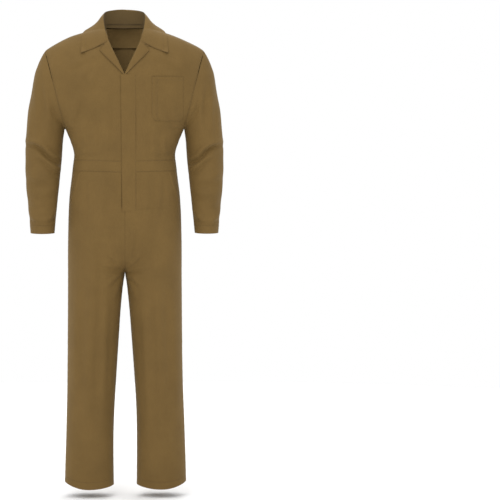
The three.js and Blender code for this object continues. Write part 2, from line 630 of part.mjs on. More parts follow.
// The slider is two lipped plates on a thin post between the rows; it runs clear of teeth and tape.
function sliderBody() {
  const shape = new THREE.Shape();
  const half = SLIDER.depth / 2;
  const edge = SLIDER.width / 2;
  const slot = TAPE_THICKNESS / 2 + GAP;
  const inner = half - SLIDER.wall;
  const mouth = CHAIN_SPLIT + CHAIN_WIDTH + GAP;
  const post = SLIDER.post / 2;
  shape.moveTo(-edge, -half);
  shape.lineTo(edge, -half);
  shape.lineTo(edge, -slot);
  shape.lineTo(mouth, -slot);
  shape.lineTo(mouth, -inner);
  shape.lineTo(post, -inner);
  shape.lineTo(post, inner);
  shape.lineTo(mouth, inner);
  shape.lineTo(mouth, slot);
  shape.lineTo(edge, slot);
  shape.lineTo(edge, half);
  shape.lineTo(-edge, half);
  shape.lineTo(-edge, slot);
  shape.lineTo(-mouth, slot);
  shape.lineTo(-mouth, inner);
  shape.lineTo(-post, inner);
  shape.lineTo(-post, -inner);
  shape.lineTo(-mouth, -inner);
  shape.lineTo(-mouth, -slot);
  shape.lineTo(-edge, -slot);
  shape.closePath();
  return new THREE.ExtrudeGeometry(shape, { depth: SLIDER.length, bevelEnabled: false });
}
const SLIDER_TOP = ZIP_LENGTH - 6;
addToZip("zip_slider", sliderBody(), 0, 0, SLIDER_TOP - SLIDER.length);

// The pull hangs in front of the slider on its eye.
function pullTab() {
  const shape = new THREE.Shape();
  const half = PULL.width / 2;
  shape.moveTo(-half, -PULL.length);
  shape.lineTo(half, -PULL.length);
  shape.lineTo(half, PULL.eye);
  shape.lineTo(-half, PULL.eye);
  shape.closePath();
  const eye = new THREE.Path();
  eye.absarc(0, 0, PULL.eye * 0.55, 0, 2 * Math.PI, true);
  shape.holes.push(eye);
  const options = { depth: PULL.thickness, bevelEnabled: false, curveSegments: 5 };
  return new THREE.ExtrudeGeometry(shape, options).rotateX(Math.PI / 2);
}
const PULL_Y = -SLIDER.depth / 2 - GAP;
addToZip("zip_pull", pullTab(), 0, PULL_Y, SLIDER_TOP - 4);

// The fly covers the zip: sewn down on the wearer's left, free on the right.
function fly() {
  const point = (u, v) => {
    const z = mix(ZIP_BOTTOM + 3, V_HEIGHT - 12, v);
    const x = mix(-FLY_LAP, FLY_ROOT - 2 * GAP, u);
    return new THREE.Vector3(x, zipFront(z), z);
  };
  return clothPanel(point, steps(0, 1, 2), steps(0, 1, 3), CLOTH, 1);
}
add("fly", fly());

// ---- Pockets ------------------------------------------------------------------------------
// A patch pocket is a flat five- or six-sided patch that follows the cloth under it.
function patch(size, side, hand, lift, depthAt) {
  const point = (u, v) => {
    const z = mix(size.bottom, size.top, v);
    const near = clamp((size.corner - (z - size.bottom)) / size.corner, 0, 1);
    const cut = near * size.corner;
    const x = mix(size.inner + cut, size.outer - cut, u);
    return new THREE.Vector3(x, depthAt(x, z) + side * lift, z);
  };
  const corner = size.corner / (size.top - size.bottom);
  return clothPanel(onSide(point, hand), steps(0, 1, 6), [0, corner, 0.4, 0.7, 1], CLOTH, -side * hand);
}

// Depth of the seat at (x, z), found by walking round the trouser form.
function seatDepth(x, z) {
  let [near, far] = [0.5, 1];
  for (let i = 0; i < 24; i++) {
    const middle = (near + far) / 2;
    if (trouserPoint(middle, z).x > x) near = middle;
    else far = middle;
  }
  return trouserPoint(near, z).y;
}
add("chest_pocket", patch(CHEST_POCKET, -1, 1, CLOTH + POCKET_LIFT, (x, z) => bodiceDepth(x, z, -1)));

// Side pocket bags hang inside the hips, behind the slanted openings.
function pocketBag(hand) {
  const point = (u, v) => {
    const z = mix(SIDE_POCKET.bag, SIDE_POCKET.top - 6, v);
    const x = mix(168 - SIDE_POCKET.reach, 166, u);
    const front = -through(FRONT_DEPTH, z) * fullness(x, through(HALF_WIDTH, z), RING_POWER);
    return new THREE.Vector3(x, front + SIDE_POCKET.depth + CLOTH, z);
  };
  return clothPanel(onSide(point, hand), steps(0, 1, 3), steps(0, 1, 3), CLOTH, hand);
}
addPair("side_pocket_bag", pocketBag, TWILL_INSIDE);

add("hip_pocket", patch(HIP_POCKET, 1, -1, CLOTH + POCKET_LIFT, seatDepth));

export default suit;
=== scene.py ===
"""A one-piece work coverall, worn as a beekeeping suit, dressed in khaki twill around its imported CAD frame.

Lengths are metres. Heights named h are measured up from the trouser hems; the suit faces -Y and the
wearer's left is +X. Every cloth panel is a dense grid over one shared body form, with its folds, seams
and thickness in the mesh.
"""

from __future__ import annotations

import logging
import math
from dataclasses import dataclass, field
from enum import Enum
from typing import Callable, ClassVar, Sequence

import bpy
import numpy as np
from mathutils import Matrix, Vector

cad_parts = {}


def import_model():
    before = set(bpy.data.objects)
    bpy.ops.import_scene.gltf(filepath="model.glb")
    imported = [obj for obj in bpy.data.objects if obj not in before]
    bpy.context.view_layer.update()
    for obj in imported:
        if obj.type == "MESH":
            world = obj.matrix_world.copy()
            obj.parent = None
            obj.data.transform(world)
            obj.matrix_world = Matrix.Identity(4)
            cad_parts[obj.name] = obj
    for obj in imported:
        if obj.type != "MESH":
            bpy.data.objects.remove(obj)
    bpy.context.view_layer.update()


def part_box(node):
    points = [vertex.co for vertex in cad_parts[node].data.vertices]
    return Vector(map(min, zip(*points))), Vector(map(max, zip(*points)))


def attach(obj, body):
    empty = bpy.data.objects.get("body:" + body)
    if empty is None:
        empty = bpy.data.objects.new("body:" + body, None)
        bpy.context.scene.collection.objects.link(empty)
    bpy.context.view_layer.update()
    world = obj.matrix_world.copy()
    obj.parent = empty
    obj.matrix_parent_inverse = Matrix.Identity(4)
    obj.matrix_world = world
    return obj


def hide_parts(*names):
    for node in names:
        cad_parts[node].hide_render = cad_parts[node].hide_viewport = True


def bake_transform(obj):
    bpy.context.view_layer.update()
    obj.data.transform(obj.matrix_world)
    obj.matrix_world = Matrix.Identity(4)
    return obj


Array = np.ndarray
Stations = Sequence[tuple[float, float]]
Seams = list[tuple[Array, float]]  # distance of each point from a seam, and how deep the seam is, 0 to 1
log = logging.getLogger("coverall")

MM = 0.001
SEED = 41


# ---- Small maths ---------------------------------------------------------------------------------


def mix(a: Array | float, b: Array | float, t: Array | float) -> Array | float:
    """Blend from one value to another."""
    return a + (b - a) * t


def smooth(t: Array | float) -> Array:
    """Ease from 0 to 1."""
    c = np.clip(t, 0.0, 1.0)
    return c * c * (3 - 2 * c)


def bump(distance: Array | float, width: float) -> Array:
    """A rounded hump that dies away from its middle."""
    return np.exp(-np.square(np.asarray(distance) / width))


def through(stations: Stations, at: Array | float) -> Array:
    """Follow a smooth curve through given stations.

    Args:
        stations: Pairs of position and value, rising in position.
        at: Where the curve is read; beyond the ends it is held.

    Returns:
        The curve's values.
    """
    xs = np.array([s[0] for s in stations], float)
    ys = np.array([s[1] for s in stations], float)
    low, high = np.maximum(np.arange(len(xs)) - 1, 0), np.minimum(np.arange(len(xs)) + 1, len(xs) - 1)
    slopes = (ys[high] - ys[low]) / (xs[high] - xs[low])
    a = np.clip(np.asarray(at, float), xs[0], xs[-1])
    i = np.clip(np.searchsorted(xs, a, side="right") - 1, 0, len(xs) - 2)
    step = xs[i + 1] - xs[i]
    t = (a - xs[i]) / step
    start = (2 * t - 3) * t * t + 1
    rise = t * (1 - t) * step * ((1 - t) * slopes[i] - t * slopes[i + 1])
    return start * ys[i] + (1 - start) * ys[i + 1] + rise


def fullness(x: Array | float, reach: Array | float, power: float) -> Array:
    """Depth left at a distance from the middle of a rounded, box-like ring."""
    share = np.clip(np.abs(x) / reach, 0, 1)
    return np.power(np.clip(1 - np.power(share, power), 0, None), 1 / power)


def stack(x: Array | float, y: Array | float, z: Array | float) -> Array:
    """Join coordinates into points."""
    return np.stack(np.broadcast_arrays(x, y, z), axis=-1).astype(float)


def unit(v: Array) -> Array:
    """Scale vectors to length one."""
    return v / np.maximum(np.linalg.norm(v, axis=-1, keepdims=True), 1e-12)


# ---- Sizes and the body form ---------------------------------------------------------------------


@dataclass(frozen=True)
class Sizes:
    """Lengths read from the CAD frame.

    Attributes:
        floor: Height of the hems in the row frame.
        waist_seam: Height of the front waist seam above the hems.
        band_top: Height of the waistband's top edge.
        underarm: Height of the underarm.
        underarm_half: Half width at the underarm.
        tip: Height of the shoulder tips.
        shoulder_half: Half width across the shoulder seams.
        hip_half: Half width across the hips.
        cuff_height: Height of the sleeve ends.
        cuff_seam: Height of the cuff hem's top.
        hem_width: Depth of the leg hems.
        leg_outer: Half width across both leg openings.
        leg_inner: Distance of a leg opening's inner edge from the centre.
        sleeve_outer: Half width across the sleeves at their widest.
        zip_bottom: Height of the zip's lower end.
        zip_top: Height of the zip's upper end.
    """

    floor: float
    waist_seam: float
    band_top: float
    underarm: float
    underarm_half: float
    tip: float
    shoulder_half: float
    hip_half: float
    cuff_height: float
    cuff_seam: float
    hem_width: float
    leg_outer: float
    leg_inner: float
    sleeve_outer: float
    zip_bottom: float
    zip_top: float

    @classmethod
    def from_frame(cls) -> "Sizes":
        """Read the sizes off the CAD nodes.

        Returns:
            The sizes of this suit.
        """
        hem_low, hem_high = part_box("left_leg_hem")
        floor = hem_low.z
        band_low, band_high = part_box("back_waistband")
        head_low, head_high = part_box("left_sleeve_head")
        _, front_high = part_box("left_front_bodice")
        _, back_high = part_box("left_side_back")
        tape_low, tape_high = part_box("left_zip_tape")
        return cls(
            floor=floor,
            waist_seam=band_low.z - floor,
            band_top=band_high.z - floor,
            underarm=UNDERARM_HEIGHT,
            underarm_half=head_low.x,
            tip=head_high.z - floor,
            shoulder_half=max(front_high.x, back_high.x),
            hip_half=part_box("left_front_fork")[1].x,
            cuff_height=CUFF_HEIGHT,
            cuff_seam=CUFF_HEIGHT + 28 * MM,
            hem_width=hem_high.z - floor,
            leg_outer=hem_high.x,
            leg_inner=hem_low.x,
            sleeve_outer=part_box("left_elbow")[1].x,
            zip_bottom=tape_low.z - floor,
            zip_top=tape_high.z - floor,
        )


UNDERARM_HEIGHT = 1.236
CUFF_HEIGHT = 0.880
CROTCH_HEIGHT = 0.742
NECK_HALF = 0.070
NECK_SIDE = 1.583
NECK_BACK = 0.064
V_HEIGHT = 1.418
FORK_RISE = 0.150


class Form:
    """The worn shape of the suit, which every panel follows."""

    POWER = 2.3
    HEAD_REACH = 0.45  # share of the sleeve head over which the armhole's shape becomes the sleeve's

    def __init__(self, sizes: Sizes) -> None:
        """Set up the form.

        Args:
            sizes: Lengths read from the frame.
        """
        s = self.sizes = sizes
        self.widths = (
            (CROTCH_HEIGHT, s.hip_half), (0.900, s.hip_half - 0.002), (1.000, s.hip_half - 0.006),
            (s.waist_seam, s.hip_half - 0.016), (1.150, s.hip_half - 0.021),
            (1.190, s.hip_half - 0.010), (s.underarm, s.underarm_half),
        )
        self.fronts = ((CROTCH_HEIGHT, 0.112), (s.zip_bottom, 0.1165), (s.underarm, 0.1206),
            (1.330, 0.1226), (1.396, 0.127))
        self.backs = (
            (CROTCH_HEIGHT, 0.128), (0.880, 0.132), (1.000, 0.116), (1.110, 0.098),
            (s.underarm, 0.122), (1.350, 0.130),
        )

    def half_width(self, h: Array | float) -> Array:
        """Half width of the body at a height."""
        return through(self.widths, h)

    def shoulder_height(self, x: Array | float) -> Array:
        """Height of the shoulder seam.

        Args:
            x: Distance from the centre.

        Returns:
            The height above the hems.
        """
        s = self.sizes
        t = np.clip((np.abs(x) - NECK_HALF) / (s.shoulder_half - NECK_HALF), 0, 1)
        return mix(NECK_SIDE, s.tip, t) + 0.017 * np.power(np.sin(np.pi * t), 0.6) * (0.35 + 0.65 * t)

    def bodice_y(self, x: Array | float, h: Array | float, side: int) -> Array:
        """Depth of the bodice's cloth.

        Args:
            x: Distance from the centre.
            h: Height above the hems.
            side: -1 for the front, 1 for the back.

        Returns:
            The y coordinate.
        """
        s = self.sizes
        depth = through(self.fronts if side < 0 else self.backs, h)
        low = depth * fullness(x, self.half_width(h), self.POWER)
        spread = s.underarm_half + 0.084 * smooth((h - s.underarm + 0.014) / 0.120)
        rise = np.clip((h - s.underarm) / (self.shoulder_height(x) - s.underarm), 0, 1)
        at_neck = 0.0 if side < 0 else NECK_BACK * fullness(np.minimum(np.abs(x), NECK_HALF), NECK_HALF, 2)
        high = mix(at_neck, depth * fullness(x, spread, self.POWER),
            fullness(rise, 1, 3 if side < 0 else 2.6))
        return side * np.where(np.asarray(h) <= s.underarm, low, high)

    @staticmethod
    def neck_edge(h: Array | float) -> Array:
        """Half width of the neck opening."""
        line = ((V_HEIGHT, 0.0), (1.461, 0.020), (1.529, 0.052), (1.556, 0.061), (NECK_SIDE, NECK_HALF))
        return through(line, h)

    def armhole(self, h: Array | float, side: int) -> Array:
        """Distance of the armhole seam from the centre.

        Args:
            h: Height above the hems.
            side: -1 for the front, 1 for the back.

        Returns:
            The distance.
        """
        s = self.sizes
        t = (np.asarray(h) - s.underarm) / (s.tip - s.underarm)
        hollow = 0.002 if side < 0 else 0.016
        return mix(s.underarm_half, s.shoulder_half, t) - hollow * np.sin(np.pi * np.clip(t, 0, 1))

    @staticmethod
    def seam_fade(h: Array | float) -> Array:
        """How clearly the armhole seam shows: fully below, hardly over the shoulder."""
        return 1 - 0.85 * smooth((np.asarray(h) - 1.440) / 0.030)

    def pleat(self, h: Array | float) -> Array:
        """Distance of the action pleat from the centre back."""
        top = self.sizes.band_top
        return through(((top, 0.137), (1.228, 0.142), (1.340, 0.153), (1.420, 0.166), (1.548, 0.190)), h)

    def waist_top(self, x: Array | float, side: int) -> Array:
        """Height of the waistband's top edge: level in front, dipped behind.

        Args:
            x: Distance from the centre.
            side: -1 for the front, 1 for the back.

        Returns:
            The height above the hems.
        """
        s = self.sizes
        if side < 0:
            return s.band_top - 0.004 * bump(x, 0.09)
        dip = mix(0.052, 0.030, smooth(np.abs(x) / 0.140)) * (1 - smooth((np.abs(x) - 0.150) / 0.026))
        return s.band_top - dip

    def bodice_point(self, across: Array, up: Array, side: int, inner: Callable[[Array], Array]) -> Array:
        """Points of one half of the bodice.

        Args:
            across: 0 at the inner edge, 1 at the side seam or armhole.
            up: 0 at the waistband, 1 at the underarm, 2 level with the V, 3 at the shoulder seam.
            side: -1 for the front, 1 for the back.
            inner: Distance of the inner edge from the centre at a height.

        Returns:
            Points on the wearer's left.
        """
        s = self.sizes
        t = np.clip(up, 0, 1)
        h_low = mix(s.band_top, s.underarm, t)
        x_low = mix(inner(h_low), self.half_width(h_low), across)
        h_low = mix(self.waist_top(x_low, side), s.underarm, t)
        bottom = np.where(up <= 2, s.underarm, V_HEIGHT)
        t = np.where(up <= 2, up - 1, up - 2)
        in_top = np.where(up <= 2, V_HEIGHT, self.shoulder_height(np.maximum(NECK_HALF, inner(NECK_SIDE))))
        out_top = np.where(up <= 2, V_HEIGHT, s.tip)
        h_in, h_out = mix(bottom, in_top, t), mix(bottom, out_top, t)
        x_high = mix(inner(h_in), self.armhole(h_out, side), across)
        line = mix(V_HEIGHT, self.shoulder_height(x_high), t)
        h_high = np.where(up <= 2, mix(h_in, h_out, across), line)
        x, h = np.where(up <= 1, x_low, x_high), np.where(up <= 1, h_low, h_high)
        return stack(x, self.bodice_y(x, h, side), h)

    def trouser_point(self, turn: Array, h: Array) -> Array:
        """Points of the left half of the trousers.

        Args:
            turn: 0 at the centre front or inseam, 0.5 at the side seam, 1 at the centre back.
            h: Height above the hems.

        Returns:
            The points.
        """
        s = self.sizes
        angle = np.pi * turn
        power = 2 / self.POWER
        depth = np.where(turn < 0.5, through(self.fronts, h), through(self.backs, h))
        sine, cosine = np.clip(np.sin(angle), 0, 1), np.cos(angle)
        seat_x = self.half_width(h) * np.power(sine, power)
        seat_y = -np.sign(cosine) * depth * np.power(np.abs(cosine), power)
        outer = through(
            ((0, s.leg_outer), (0.070, s.leg_outer - 0.001), (0.200, s.leg_outer - 0.005),
             (0.400, s.leg_outer - 0.011), (CROTCH_HEIGHT, s.hip_half)), h)
        inner = through(
            ((0, s.leg_inner), (0.200, s.leg_inner), (0.407, s.leg_inner - 0.010),
             (0.579, s.leg_inner - 0.021), (0.690, 0.008), (CROTCH_HEIGHT, 0.0)), h)
        centre = through(((0, 0.010), (0.300, 0.008), (0.450, 0.0), (0.600, 0.004), (CROTCH_HEIGHT, 0.008)),
            h)
        leg_depth = through(((0, 0.074), (0.250, 0.079), (0.440, 0.086), (0.600, 0.098),
            (CROTCH_HEIGHT, 0.108)), h)
        leg_x = mix(inner, outer, 0.5) - (outer - inner) / 2 * np.cos(2 * angle)
        leg_y = centre - leg_depth * np.sin(2 * angle)
        rise = np.clip((h - CROTCH_HEIGHT) / FORK_RISE, 0, 1)
        fork = 1 - np.sqrt(1 - np.square(1 - rise))
        split = mix(1 - smooth(rise), fork, np.power(np.abs(cosine), 4))
        return stack(np.maximum(mix(seat_x, leg_x, split), 0), mix(seat_y, leg_y, split), h)

    def sleeve_point(self, turn: Array, ring: Array) -> Array:
        """Points of the left sleeve.

        Args:
            turn: 0 and 1 at the underarm, 0.25 in front, 0.5 outside, 0.75 behind.
            ring: 0 at the armhole, 1 below the sleeve head, 3 at the elbow, 5 at the cuff, 6 at its end.

        Returns:
            The points.
        """
        s = self.sizes
        angle = 2 * np.pi * turn
        outside = through(
            ((0, s.tip), (1, 1.330), (2, 1.212), (3, 1.140), (4, 1.068), (5, s.cuff_seam),
            (6, s.cuff_height)), ring)
        inside = through(
            ((0, s.underarm), (1, s.underarm - 0.010), (2, 1.209), (3, 1.140), (4, 1.071),
             (5, s.cuff_seam), (6, s.cuff_height)), ring)
        wide = s.sleeve_outer
        outer_x = through(
            ((0.880, wide - 0.018), (0.992, wide - 0.007), (1.060, wide - 0.001), (1.170, wide),
            (1.232, wide - 0.005),
             (1.301, wide - 0.012), (1.370, wide - 0.026), (1.439, wide - 0.037), (1.487, wide - 0.055),
             (s.tip, s.shoulder_half)), outside)
        inner_x = through(
            ((0.880, 0.240), (0.992, 0.229), (1.061, 0.222), (1.130, 0.215), (1.198, 0.210),
             (s.underarm, s.underarm_half)), inside)
        along = (1 - np.cos(angle)) / 2
        middle = through(((0, 0.002), (1, 0.006), (3, 0.010), (5, -0.020), (6, -0.030)), ring)
        depth = through(((0, 0.076), (1, 0.074), (3, 0.066), (6, 0.043)), ring)
        tube_y = middle - depth * np.sin(angle)
        tube_h = mix(inside, outside, along) + through(((4, 0.0), (6, 0.06)), ring) * (tube_y - middle)
        tube = stack(mix(inner_x, outer_x, along), tube_y, tube_h)
        h = mix(s.underarm, s.tip, along)
        front = np.sin(angle) >= 0
        x = np.where(front, self.armhole(h, -1), self.armhole(h, 1))
        y = np.where(front, self.bodice_y(x, h, -1), self.bodice_y(x, h, 1))
        return mix(stack(x, y, h), tube, smooth(ring / self.HEAD_REACH)[..., None])


# ---- Folds ---------------------------------------------------------------------------------------


class Seen(Enum):
    """Which face of the suit a fold lies on."""

    FRONT = -1
    BACK = 1
    ROUND = 0


@dataclass(frozen=True)
class Fold:
    """One soft fold: a crest along a path, with a hollow beside it.

    Attributes:
        path: Points (distance from centre, height) that the crest passes.
        seen: The face it lies on.
        width: Half width of the crest.
        rise: Height of the crest.
        hollow: Depth of the hollow on its lower side, as a share of the rise.
        sharp: 1 for a soft crest, more for a crisp one.
    """

    path: tuple[tuple[float, float], ...]
    seen: Seen
    width: float
    rise: float
    hollow: float = 0.8
    sharp: float = 1.0

    def lift(self, x: Array, h: Array, facing: Array, shift: float) -> Array:
        """How far the fold lifts the cloth.

        Args:
            x: Distances from the centre.
            h: Heights above the hems.
            facing: -1 where the cloth faces forwards, 1 backwards.
            shift: Small displacement of the whole fold, so both sides of the suit differ.

        Returns:
            The lift along the cloth's normal.
        """
        knots = np.array(self.path, float) + np.array([shift * 0.4, shift])
        spread = np.linspace(0, 1, len(knots))
        t = np.linspace(0, 1, 26)
        line = np.stack([through(list(zip(spread, knots[:, k])), t) for k in (0, 1)], axis=-1)
        a, b = line[:-1], line[1:]
        d = b - a
        length = np.maximum(np.square(d).sum(-1), 1e-12)
        px, ph = x[..., None] - a[:, 0], h[..., None] - a[:, 1]
        s = np.clip((px * d[:, 0] + ph * d[:, 1]) / length, 0, 1)
        ox, oh = px - s * d[:, 0], ph - s * d[:, 1]
        far = np.hypot(ox, oh)
        near = np.argmin(far, axis=-1)
        pick = lambda values: np.take_along_axis(values, near[..., None], -1)[..., 0]
        distance = pick(far)
        side = np.sign(pick(d[:, 0] * oh - d[:, 1] * ox))
        share = (near + pick(s)) / (len(line) - 1)
        taper = np.power(np.clip(np.sin(np.pi * np.clip(share, 0.02, 0.98)), 0, 1), 0.6)
        signed = -distance * side * np.sign(knots[-1, 0] - knots[0, 0] + 1e-9)
        crest = np.exp(-np.power(distance / self.width, 2 / self.sharp))
        trough = bump(signed - 1.25 * self.width, 0.8 * self.width)
        towards = 1.0 if self.seen is Seen.ROUND else smooth(0.5 + 1.1 * facing * self.seen.value)
        return self.rise * taper * towards * (crest - self.hollow * trough)


def fan(start: tuple[float, float], ends: Sequence[tuple[float, float]], seen: Seen, width: float,
    rise: float) -> list[Fold]:
    """Folds that spread from one place."""
    return [Fold((start, ((start[0] + e[0]) / 2, (start[1] + e[1]) / 2), e), seen, width, rise,
        0.6) for e in ends]


SLEEVE_FOLDS = (
    Fold(((0.336, 1.188), (0.300, 1.184), (0.272, 1.168), (0.246, 1.140), (0.214, 1.124)), Seen.FRONT,
        0.0105, 0.0072, 1.1, 1.2),
    Fold(((0.300, 1.150), (0.268, 1.128), (0.240, 1.104), (0.216, 1.094)), Seen.FRONT, 0.0110, 0.0046, 0.8),
    Fold(((0.335, 1.095), (0.300, 1.070), (0.262, 1.062), (0.226, 1.052)), Seen.FRONT, 0.017, 0.0036, 0.7),
    Fold(((0.333, 1.020), (0.296, 1.010), (0.258, 1.018), (0.230, 1.034)), Seen.FRONT, 0.018, 0.0028, 0.7),
    Fold(((0.328, 0.962), (0.312, 0.934), (0.284, 0.922), (0.256, 0.932), (0.238, 0.966)), Seen.FRONT,
        0.0095, 0.0034, 0.9),
    Fold(((0.322, 0.990), (0.296, 0.974), (0.262, 0.978)), Seen.FRONT, 0.012, 0.0018, 0.7),
    Fold(((0.300, 1.400), (0.296, 1.320), (0.300, 1.230)), Seen.FRONT, 0.013, 0.0030, 0.7),
    Fold(((0.268, 1.390), (0.258, 1.310), (0.262, 1.215)), Seen.FRONT, 0.012, 0.0024, 0.7),
    Fold(((0.318, 1.320), (0.320, 1.260), (0.326, 1.205)), Seen.FRONT, 0.010, 0.0020, 0.6),
    Fold(((0.206, 1.262), (0.232, 1.300), (0.246, 1.360)), Seen.FRONT, 0.010, 0.0026, 0.8),
    Fold(((0.206, 1.262), (0.230, 1.316), (0.240, 1.380)), Seen.BACK, 0.011, 0.0032, 0.8),
    Fold(((0.212, 1.205), (0.240, 1.212), (0.270, 1.232)), Seen.BACK, 0.011, 0.0034, 0.9),
    Fold(((0.214, 1.160), (0.240, 1.172), (0.262, 1.180)), Seen.BACK, 0.010, 0.0030, 0.8),
    Fold(((0.216, 1.100), (0.250, 1.104), (0.290, 1.124), (0.324, 1.160)), Seen.BACK, 0.018, 0.0028, 0.7),
    Fold(((0.222, 1.030), (0.262, 1.022), (0.306, 1.046)), Seen.BACK, 0.018, 0.0022, 0.7),
    Fold(((0.232, 0.960), (0.262, 0.950), (0.300, 0.972)), Seen.BACK, 0.015, 0.0020, 0.7),
    Fold(((0.300, 1.420), (0.302, 1.330), (0.310, 1.240)), Seen.BACK, 0.016, 0.0028, 0.7),
    Fold(((0.262, 1.400), (0.262, 1.330), (0.270, 1.250)), Seen.BACK, 0.012, 0.0022, 0.7),
)
BODICE_FOLDS = (
    *fan((0.086, 1.490), [(0.160, 1.380), (0.205, 1.440), (0.120, 1.360)], Seen.FRONT, 0.014, 0.0016),
    Fold(((0.196, 1.236), (0.168, 1.280), (0.150, 1.350)), Seen.FRONT, 0.013, 0.0022, 0.7),
    Fold(((0.182, 1.190), (0.150, 1.230), (0.118, 1.300)), Seen.FRONT, 0.015, 0.0018, 0.7),
    Fold(((0.060, 1.330), (0.056, 1.230), (0.064, 1.130)), Seen.FRONT, 0.014, 0.0016, 0.6),
    Fold(((0.100, 1.240), (0.096, 1.190), (0.104, 1.130)), Seen.FRONT, 0.010, 0.0018, 0.6),
    Fold(((0.136, 1.220), (0.134, 1.180), (0.140, 1.130)), Seen.FRONT, 0.009, 0.0020, 0.6),
    Fold(((0.176, 1.168), (0.130, 1.160), (0.070, 1.166)), Seen.FRONT, 0.012, 0.0018, 0.7),
    Fold(((0.090, 1.500), (0.078, 1.400), (0.082, 1.290)), Seen.BACK, 0.024, 0.0028, 0.6),
    Fold(((0.120, 1.300), (0.106, 1.200), (0.112, 1.105)), Seen.BACK, 0.014, 0.0024, 0.6),
    Fold(((0.050, 1.260), (0.048, 1.180), (0.054, 1.090)), Seen.BACK, 0.015, 0.0018, 0.6),
    Fold(((0.020, 1.470), (0.060, 1.440), (0.130, 1.450)), Seen.BACK, 0.020, 0.0018, 0.6),
    Fold(((0.160, 1.420), (0.172, 1.330), (0.168, 1.240)), Seen.BACK, 0.009, 0.0024, 0.7),
    Fold(((0.196, 1.330), (0.184, 1.260), (0.170, 1.180)), Seen.BACK, 0.009, 0.0026, 0.8),
    Fold(((0.158, 1.200), (0.156, 1.150), (0.160, 1.105)), Seen.BACK, 0.007, 0.0028, 0.8),
)
TROUSER_FOLDS = (
    Fold(((0.070, 1.080), (0.074, 1.000), (0.082, 0.880)), Seen.FRONT, 0.015, 0.0022, 0.6),
    Fold(((0.118, 1.080), (0.116, 1.010), (0.110, 0.930)), Seen.FRONT, 0.012, 0.0018, 0.6),
    Fold(((0.110, 0.860), (0.112, 0.640), (0.122, 0.420), (0.124, 0.160)), Seen.FRONT, 0.019, 0.0040, 0.5),
    Fold(((0.160, 0.700), (0.165, 0.520), (0.168, 0.300)), Seen.FRONT, 0.016, 0.0024, 0.5),
    Fold(((0.064, 0.640), (0.072, 0.460), (0.080, 0.240)), Seen.FRONT, 0.014, 0.0024, 0.5),
    *fan((0.006, 0.756), [(0.050, 0.800), (0.074, 0.766), (0.060, 0.700), (0.040, 0.660)], Seen.FRONT,
        0.008, 0.0022),
    Fold(((0.030, 0.900), (0.024, 0.840), (0.012, 0.780)), Seen.FRONT, 0.010, 0.0020, 0.6),
    Fold(((0.162, 1.050), (0.158, 0.990), (0.160, 0.900)), Seen.BACK, 0.007, 0.0034, 0.8),
    Fold(((0.142, 1.050), (0.138, 0.990), (0.136, 0.920)), Seen.BACK, 0.007, 0.0030, 0.8),
    Fold(((0.120, 1.040), (0.114, 0.980), (0.108, 0.900)), Seen.BACK, 0.009, 0.0022, 0.7),
    Fold(((0.178, 1.040), (0.176, 0.960), (0.178, 0.860)), Seen.BACK, 0.008, 0.0026, 0.7),
    Fold(((0.060, 1.030), (0.056, 0.960), (0.060, 0.860)), Seen.BACK, 0.016, 0.0018, 0.6),
    *fan((0.004, 0.790), [(0.060, 0.850), (0.078, 0.780), (0.072, 0.700), (0.050, 0.640)], Seen.BACK, 0.010,
        0.0038),
    Fold(((0.030, 0.690), (0.050, 0.560), (0.066, 0.470), (0.086, 0.424)), Seen.BACK, 0.0085, 0.0062, 0.9,
        1.1),
    Fold(((0.080, 0.428), (0.104, 0.410), (0.128, 0.398), (0.152, 0.388)), Seen.BACK, 0.0095, 0.0064, 1.0,
        1.1),
    Fold(((0.194, 0.510), (0.178, 0.450), (0.158, 0.384)), Seen.BACK, 0.0085, 0.0048, 0.8, 1.1),
    Fold(((0.158, 0.388), (0.164, 0.350), (0.176, 0.310)), Seen.BACK, 0.010, 0.0026, 0.7),
    Fold(((0.052, 0.440), (0.074, 0.374), (0.104, 0.318)), Seen.BACK, 0.0085, 0.0046, 0.8),
    Fold(((0.048, 0.400), (0.064, 0.330), (0.082, 0.262)), Seen.BACK, 0.008, 0.0040, 0.8),
    Fold(((0.046, 0.340), (0.054, 0.260), (0.062, 0.170)), Seen.BACK, 0.008, 0.0030, 0.7),
    Fold(((0.100, 0.480), (0.120, 0.462), (0.146, 0.470)), Seen.BACK, 0.011, 0.0026, 0.7),
    Fold(((0.112, 0.640), (0.116, 0.560), (0.110, 0.490)), Seen.BACK, 0.018, 0.0028, 0.6),
    Fold(((0.150, 0.300), (0.156, 0.200), (0.160, 0.090)), Seen.BACK, 0.016, 0.0026, 0.6),
    Fold(((0.104, 0.260), (0.108, 0.170), (0.110, 0.080)), Seen.BACK, 0.015, 0.0020, 0.6),
)


